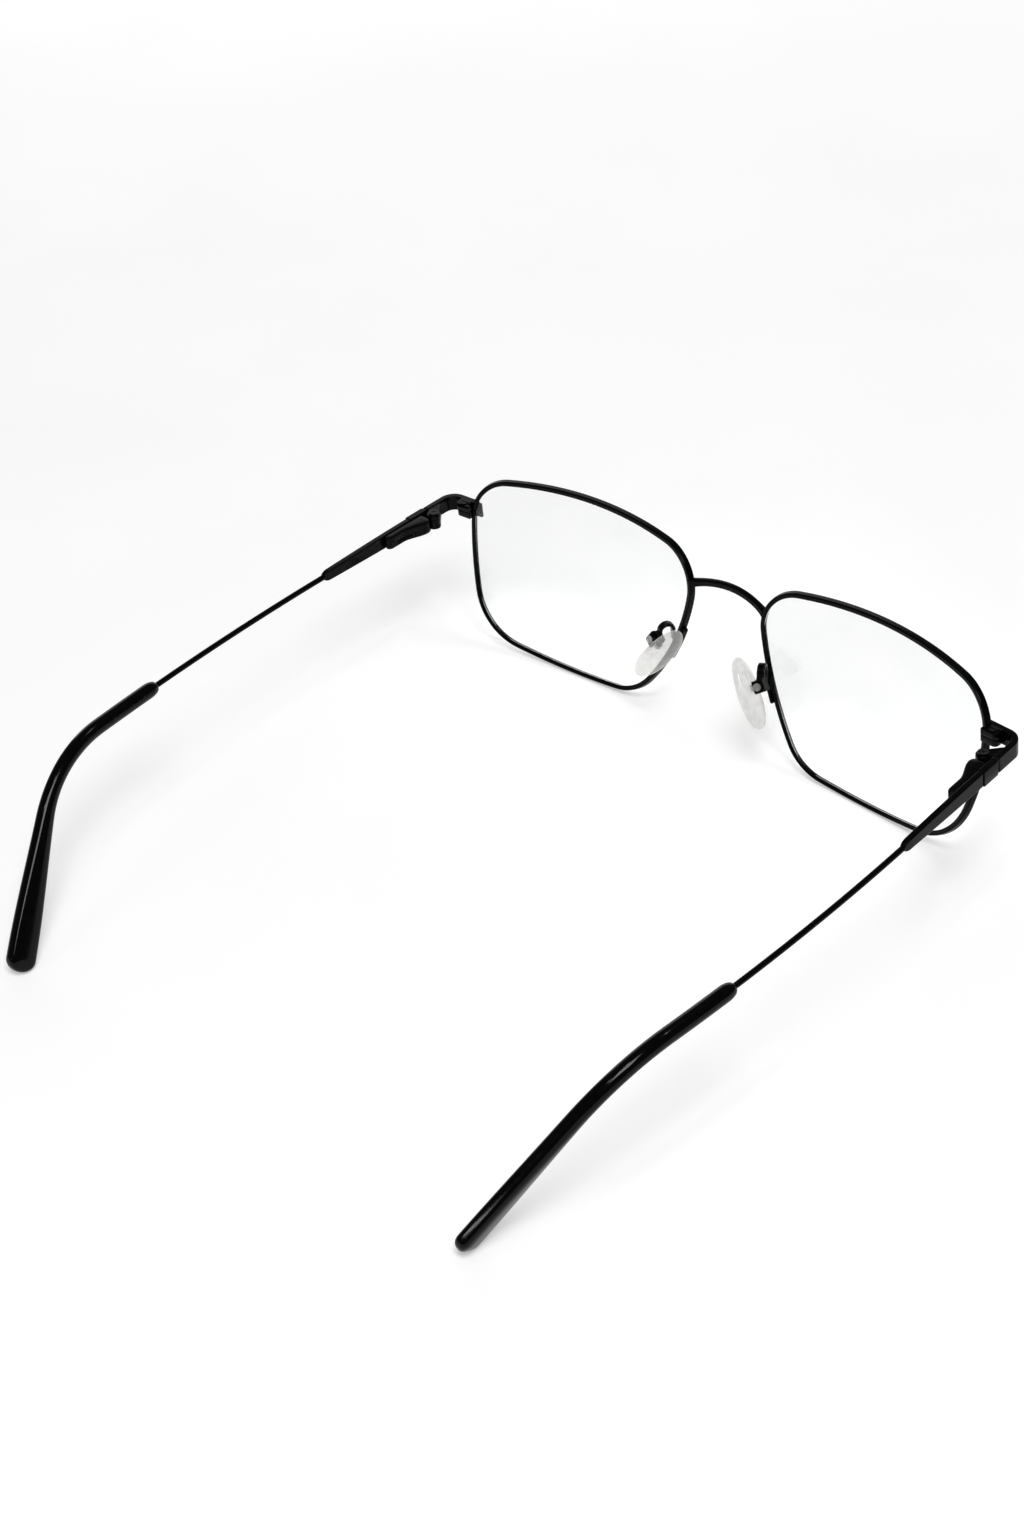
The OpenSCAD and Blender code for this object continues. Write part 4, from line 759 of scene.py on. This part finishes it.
def tip_rings():
    """Sleeve of superellipse section (exponent 2 at the lead, 3.3 at the blade): rounded nose, even lead,
    a blade that widens by a smooth step, a round end, and a short bore for the wire at the nose."""
    # Share of the bend at which the blade begins to widen, and what its section's exponent gains on the way
    widen_at, squarer = 0.6, 1.3
    # Clearance of the bore round the wire, and the bore's depth
    bore_clear, depth = 0.06, 2.5
    blade_from, blade_to = BEND_L * widen_at, TIP_END - ROUND_L
    front_l = -TIP_LEAD + NOSE_L * (1 - cosd(np.linspace(0, 90, 12)))
    back_l = TIP_END - ROUND_L * (1 - sind(np.linspace(0, 90, 16)))
    l = np.concatenate([front_l, np.linspace(-TIP_LEAD + NOSE_L, 0, 14)[1:], np.linspace(0, BEND_L, 30)[1:],
                        np.linspace(BEND_L, blade_to, 30)[1:-1], back_l])
    p, d, s = tip_line(l)
    g = np.clip((l - blade_from) / (blade_to - blade_from), 0, 1)
    grow = g * g * (3 - 2 * g)
    front = np.minimum((l + TIP_LEAD) / NOSE_L, 1)
    nose = 0.5 + 0.5 * np.sqrt(np.clip(1 - (1 - front) ** 2, 0, 1))
    back = np.minimum((TIP_END - l) / ROUND_L, 1)
    end = np.sqrt(np.clip(1 - (1 - back) ** 2, 0.0004, 1))
    a = WIDTH_SHARE * (TIP_T + (BLADE_T - TIP_T) * grow) * nose * end
    c = HEIGHT_SHARE * (TIP_H + (BLADE_H - TIP_H) * grow) * nose * end
    t = np.linspace(0, 2 * np.pi, 57)[:-1]
    power = 2 / (2 + squarer * grow[:, None])
    sx, sy = [np.sign(w) * np.abs(w) ** power for w in (np.cos(t), np.sin(t))]
    across = np.cross(d, s)
    wide, tall = (a[:, None] * sx)[..., None], (c[:, None] * sy)[..., None]
    rings = p[:, None] + wide * across[:, None] + tall * s[:, None]
    r = WIRE_R + bore_clear
    hole = p[0] + r * (np.cos(t)[:, None] * across[0] + np.sin(t)[:, None] * s[0])
    deep = [hole + d[0] * depth, hole + d[0] * 0.1, hole]
    inner = deep[0] + (p[0] + d[0] * depth - deep[0]) * 0.98
    return hinge_point(np.concatenate([np.stack([inner] + deep), rings]))


# Nose pads and their arms

pad_along = unit([-sind(PAD_LEAN), -sind(PAD_PITCH) * cosd(PAD_LEAN), cosd(PAD_PITCH) * cosd(PAD_LEAN)])
face_raw = np.array([-cosd(PAD_TURN), sind(PAD_TURN), 0])
pad_face = unit(face_raw - np.dot(face_raw, pad_along) * pad_along)
pad_screw_dir = np.cross(pad_face, pad_along)
PAD_MIDDLE = np.array([PAD_X, PAD_BACK, LENS_AT[2] - PAD_BELOW])
PAD_PIVOT = PAD_MIDDLE - PAD_STAND * pad_face + PAD_SCREW_UP * pad_along


def pad_point(p):
    """Frame of the pad screw: X along the screw, Y out of the pad's face, Z along the pad."""
    p = np.asarray(p, float)
    return PAD_PIVOT + p[..., :1] * pad_screw_dir + p[..., 1:2] * pad_face + p[..., 2:] * pad_along


def nose_pad_rings():
    """Oval with a crowned face and a nearly flat back: ring of share k at height y is
    (w k cos a / (1 + 0.1 sin a), y, l k sin a)."""
    profile = np.array([
        [0.01, -1.3], [0.35, -1.3], [0.6, -1.28], [0.78, -1.18], [0.9, -0.98], [0.965, -0.7], [0.993, -0.4],
        [1.0, -0.08], [0.992, 0.2], [0.965, 0.45], [0.91, 0.7], [0.82, 0.92], [0.68, 1.1], [0.48, 1.22],
        [0.25, 1.28], [0.01, 1.3]])
    # How much narrower the oval is towards its top
    taper = 0.1
    a = np.linspace(0, 2 * np.pi, 65)[:-1]
    k, y = profile[:, :1], profile[:, 1:]
    x = PAD_W / 2 * k * np.cos(a) / (1 + taper * np.sin(a))
    z = PAD_L / 2 * k * np.sin(a)
    return pad_point(np.stack([x, y + PAD_STAND + 0 * x, z - PAD_SCREW_UP], -1))


def pad_box_shells():
    """Folded sheet box: two cheeks and the strip that joins them, open towards the pad."""
    w = PAD_BOX_W / 2
    cheek = (w - INSET - PAD_SLOT / 2) / 2
    path = [[0, 0, -w], [0, 0, 0], [0, 0, w]]
    shells = []
    for k in (-1, 1):
        sec = block_section(cheek, w - 0.1, 0.22) + [k * (w - INSET - cheek), -0.08]
        shells.append(sweep(sec, path, [1, 0, 0], [0, 1, 0], (0.2, 0.2)))
    sec = block_section(w - 0.2, 0.13, 0.08) + [0, 0.15 - w]
    shells.append(sweep(sec, path, [1, 0, 0], [0, 1, 0], (0.08, 0.08)))
    return [pad_point(r) for r in shells]


# The lens shape's arc on the nose side, which carries the pad arm's foot
side_from = CORNER_END[1]
side_span = ccw(side_from, CORNER_START[2]) - side_from
SIDE_L = SIDES[1][1] * np.radians(side_span)


def inner_station(share):
    """Station at a share of the way along the arc on the nose side."""
    a = side_from + side_span * np.atleast_1d(share)
    c, r = SIDES[1]
    return np.stack([c[0] + r * cosd(a), c[1] + r * sind(a), a], 1)


def foot_rings():
    """Plate brazed along the eyewire's inner side: its section wraps the wire's outer rear corner."""
    st = inner_station(FOOT_SHARE + (np.linspace(0, 1, 25) - 0.3) * FOOT_L / SIDE_L)
    base = placed(lens_point(st, 0, 0))
    out = placed(lens_point(st, 1, 0)) - base
    back = placed(lens_point(st, 0, 1)) - base
    lo, hi = half_t + SEAT, half_t + SEAT + ARM_T
    fore, aft = -0.5, half_d + 0.25
    sec = rounded([[lo, fore], [hi, fore], [hi, aft], [lo, aft]], [0.06, 0.3, 0.3, 0.06], 5, 0.02)
    return sweep(sec, base, out, back, (0.3, 0.3))


def arm_rings():
    """Flat wire in one upright plane, from the foot: back, a quarter circle up, an arch of radius ARCH_R over
    the top and an arc down into the pad box. Its heading h gives each point from the arc's centre."""
    root = placed(lens_point(inner_station(FOOT_SHARE), half_t + SEAT + ARM_T / 2, half_d - 0.1))[0]
    span = PAD_PIVOT[:2] - root[:2]
    reach = np.linalg.norm(span)
    # Height of the arm's end over the pad screw, its lap into the foot, how far it ends short of the screw,
    # and the rounding of its ends
    over_screw, foot_lap, short, end_r = 1.15, 0.3, 0.3, (0.15, 0.1)
    entry = PAD_PIVOT[2] + over_screw - root[2]
    run, riser, fall_r, fall = 0.5, 0.8, 0.9, 80
    arch_u = run + riser + ARCH_R
    arch_z = entry + fall_r * (1 - cosd(fall)) - ARCH_R * cosd(fall)
    h1, h2, h3 = np.linspace(0, 90, 12), np.linspace(90, -fall, 24), np.linspace(-fall, 0, 12)
    u = np.concatenate([[-foot_lap], run + riser * sind(h1), arch_u - ARCH_R * sind(h2[1:]),
                        arch_u + ARCH_R * sind(fall) + fall_r * (sind(fall) + sind(h3[1:])), [reach - short]])
    z = np.concatenate([[0], riser * (1 - cosd(h1)), arch_z + ARCH_R * cosd(h2[1:]),
                        entry + fall_r * (1 - cosd(h3[1:])), [entry]])
    h = np.concatenate([[0], h1, h2[1:], h3[1:], [0]])
    d = np.append(span / reach, 0)
    c = root + u[:, None] * d + z[:, None] * np.array([0, 0, 1])
    normal = -sind(h)[:, None] * d + cosd(h)[:, None] * np.array([0, 0, 1])
    side = np.cross(d, [0, 0, 1])
    return sweep(block_section(ARM_W / 2, ARM_T / 2, 0.3), c, side, normal, end_r)


for name, left in (("left", True), ("right", False)):
    temple, pad = name + "_temple", name + "_pad"
    block_top = block_rings(BLOCK_GAP / 2, BLOCK_H / 2)
    block_base = block_rings(INSET - BLOCK_H / 2, -BLOCK_GAP / 2)
    for label, node, body, slot, shells in (
            ("rim", "eyewire", "front", "frame_paint", [eyewire_rings()]),
            ("lens_shell", "lens", "front", "lens", [lens_rings()]),
            ("end_bar", "end_piece", "front", "frame_paint", [end_piece_rings()]),
            ("block_top", "block_upper", "front", "frame_paint", [block_top]),
            ("block_base", "block_lower", "front", "frame_paint", [block_base]),
            ("hinge_plate", "hinge_leaf", "front", "frame_paint", hinge_leaf_shells()),
            ("pad_cradle", "pad_box", "front", "frame_paint", pad_box_shells()),
            ("temple_blade", "temple_bar", temple, "frame_paint", [head_rings(), bar_rings()]),
            ("temple_rod", "temple_wire", temple, "frame_paint", [wire_rings()]),
            ("ear_sleeve", "temple_tip", temple, "tip_acetate", [tip_rings()]),
            ("spring_case", "spring_box", temple, "frame_paint", [spring_box_rings()]),
            ("pad_bracket", "pad_arm", "front", "frame_paint", [foot_rings(), arm_rings()]),
            ("pad_oval", "nose_pad", pad, "pad_silicone", [nose_pad_rings()])):
        piece(name + "_" + label, shells, left, body, [name + "_" + node], slot)
piece("bridge_bar", [bridge_rings()], True, "front", ["bridge"], "frame_paint")

node_slot = {s["node"]: s["material_slot"] for s in frame["record"]["subparts"]}
for node_name, obj in frame["nodes"].items():
    obj.data.materials.clear()
    obj.data.materials.append(DARK_STEEL if node_name.endswith("slider") else SLOT_LOOK[node_slot[node_name]])

# Floor: a plain pale sheet that keeps the object's soft shadow

def floor_sheet():
    """Matt white paper sweep: diffuse, with a faint mottle. It gives FLOOR_LIFT of its own light to rays that
    see it straight, through the lens or mirrored, so that it reads as white, and none to other surfaces."""
    m, t = start("matt_white_paper")
    where = add(t, "ShaderNodeTexCoord").outputs["Object"]
    mottle = add(t, "ShaderNodeTexNoise", {"Vector": where, "Scale": MM / 60.0, "Detail": 3.0}).outputs["Fac"]
    colour = add(t, "ShaderNodeValToRGB", {"Fac": mottle}, [(0.3, "#dddddd"), (0.7, "#e0e0e0")])
    matt = add(t, "ShaderNodeBsdfDiffuse", {"Color": colour.outputs["Color"]})
    path = add(t, "ShaderNodeLightPath").outputs
    seen = add(t, "ShaderNodeMath", {0: path["Is Camera Ray"], 1: path["Is Transmission Ray"]},
               operation="MAXIMUM")
    mirrored = add(t, "ShaderNodeMath", {0: seen.outputs[0], 1: path["Is Glossy Ray"]}, operation="MAXIMUM")
    lift = add(t, "ShaderNodeMath", {0: mirrored.outputs[0], 1: FLOOR_LIFT}, operation="MULTIPLY")
    glow = add(t, "ShaderNodeEmission", {"Color": hex_rgb("#ffffff"), "Strength": lift.outputs[0]})
    paper = add(t, "ShaderNodeAddShader", {0: matt.outputs["BSDF"], 1: glow.outputs["Emission"]})
    add(t, "ShaderNodeOutputMaterial", {"Surface": paper.outputs["Shader"]})
    return m


# Half width of the floor in metres, its depth below the frame, and the light that it gives of its own
FLOOR_HALF, FLOOR_Z, FLOOR_LIFT = 3.0, -2e-5, 0.39
ground = bpy.data.meshes.new("ground")
floor_corners = [(x * FLOOR_HALF, y * FLOOR_HALF, FLOOR_Z) for x, y in ((-1, -1), (1, -1), (1, 1), (-1, 1))]
ground.from_pydata(floor_corners, [], [(0, 1, 2, 3)])
ground.materials.append(floor_sheet())
ground_obj = bpy.data.objects.new("ground", ground)
bpy.context.scene.collection.objects.link(ground_obj)

# World and lamps

world = bpy.data.worlds.new("studio")
bpy.context.scene.world = world
world.use_nodes = True
world.node_tree.nodes.clear()
# Light that the room gives to surfaces, their reflections included, against the plain white that is seen
# straight and through the lens
ROOM_LEVEL, SEEN_LEVEL = 0.12, 1.0
room = world.node_tree
way = add(room, "ShaderNodeLightPath").outputs
plain = add(room, "ShaderNodeMath", {0: way["Is Camera Ray"], 1: way["Is Transmission Ray"]},
            operation="MAXIMUM")
level = add(room, "ShaderNodeMapRange",
            {"Value": plain.outputs[0], "To Min": ROOM_LEVEL, "To Max": SEEN_LEVEL})
sky = add(room, "ShaderNodeBackground", {"Color": hex_rgb("#ffffff"), "Strength": level.outputs["Result"]})
add(room, "ShaderNodeOutputWorld", {"Surface": sky.outputs["Background"]})


def pose_matrix(x, y, z, at):
    """Matrix whose columns are the object's three axes and its place."""
    return Matrix(np.vstack([np.column_stack([x, y, z, at]), [0, 0, 0, 1]]).tolist())


def lamp(name, at, size, power):
    """Rectangular area lamp at a place, turned towards the origin; size is its width and height."""
    data = bpy.data.lights.new(name, "AREA")
    data.shape = "RECTANGLE"
    data.size, data.size_y = size
    data.energy = power
    obj = bpy.data.objects.new(name, data)
    bpy.context.scene.collection.objects.link(obj)
    z = unit(at)
    x = unit(np.cross([0, 0, 1], z))
    y = np.cross(z, x)
    obj.matrix_world = pose_matrix(x, y, z, at)


# Main softbox, a low card that fills the front, and four small lamps for the highlights on the tips:
# place in metres, width and height in metres, and power in watts
lamp("key_softbox", (-0.50, 0.32, 1.05), (0.45, 0.45), 9.1)
lamp("low_card", (0.46, -0.46, 0.21), (0.9, 0.4), 1.4)
lamp("strip_1", (0.15, 1.105, 0.56), (0.3, 0.06), 0.9)
for number, at in enumerate([(-0.174, 0.55, 1.1), (-0.187, 0.237, 1.203), (-0.249, -0.472, 1.106)]):
    lamp("strip_%d" % (number + 2), at, (0.1, 0.05), 0.45)

# Camera at the view that was solved from the rims, hinges and tips

right_dir = np.array([-0.7236508450605232, -0.6830073080760986, -0.09914873452461574])
down_dir = np.array([-0.3575006721863422, 0.4938412234026244, -0.7926626744426112])
look_dir = np.array([0.5903581318399069, -0.5381652749693545, -0.6015441903864212])
eye = np.array([-0.34282252415, 0.30591874778, 0.37661927097])
# Focal length in pixels of the picture, the picture's height in pixels, and the sensor's size in millimetres
FOCAL_PX, PICTURE_H, SENSOR_MM = 3109.657620036963, 1536, 36.0
cam_data = bpy.data.cameras.new("camera")
cam_data.sensor_width = SENSOR_MM
cam_data.lens = FOCAL_PX * SENSOR_MM / PICTURE_H
cam_data.clip_start = 0.01
cam = bpy.data.objects.new("camera", cam_data)
bpy.context.scene.collection.objects.link(cam)
cam.matrix_world = pose_matrix(right_dir, -down_dir, -look_dir, eye)
bpy.context.scene.camera = cam
bpy.context.scene.view_settings.view_transform = "Standard"
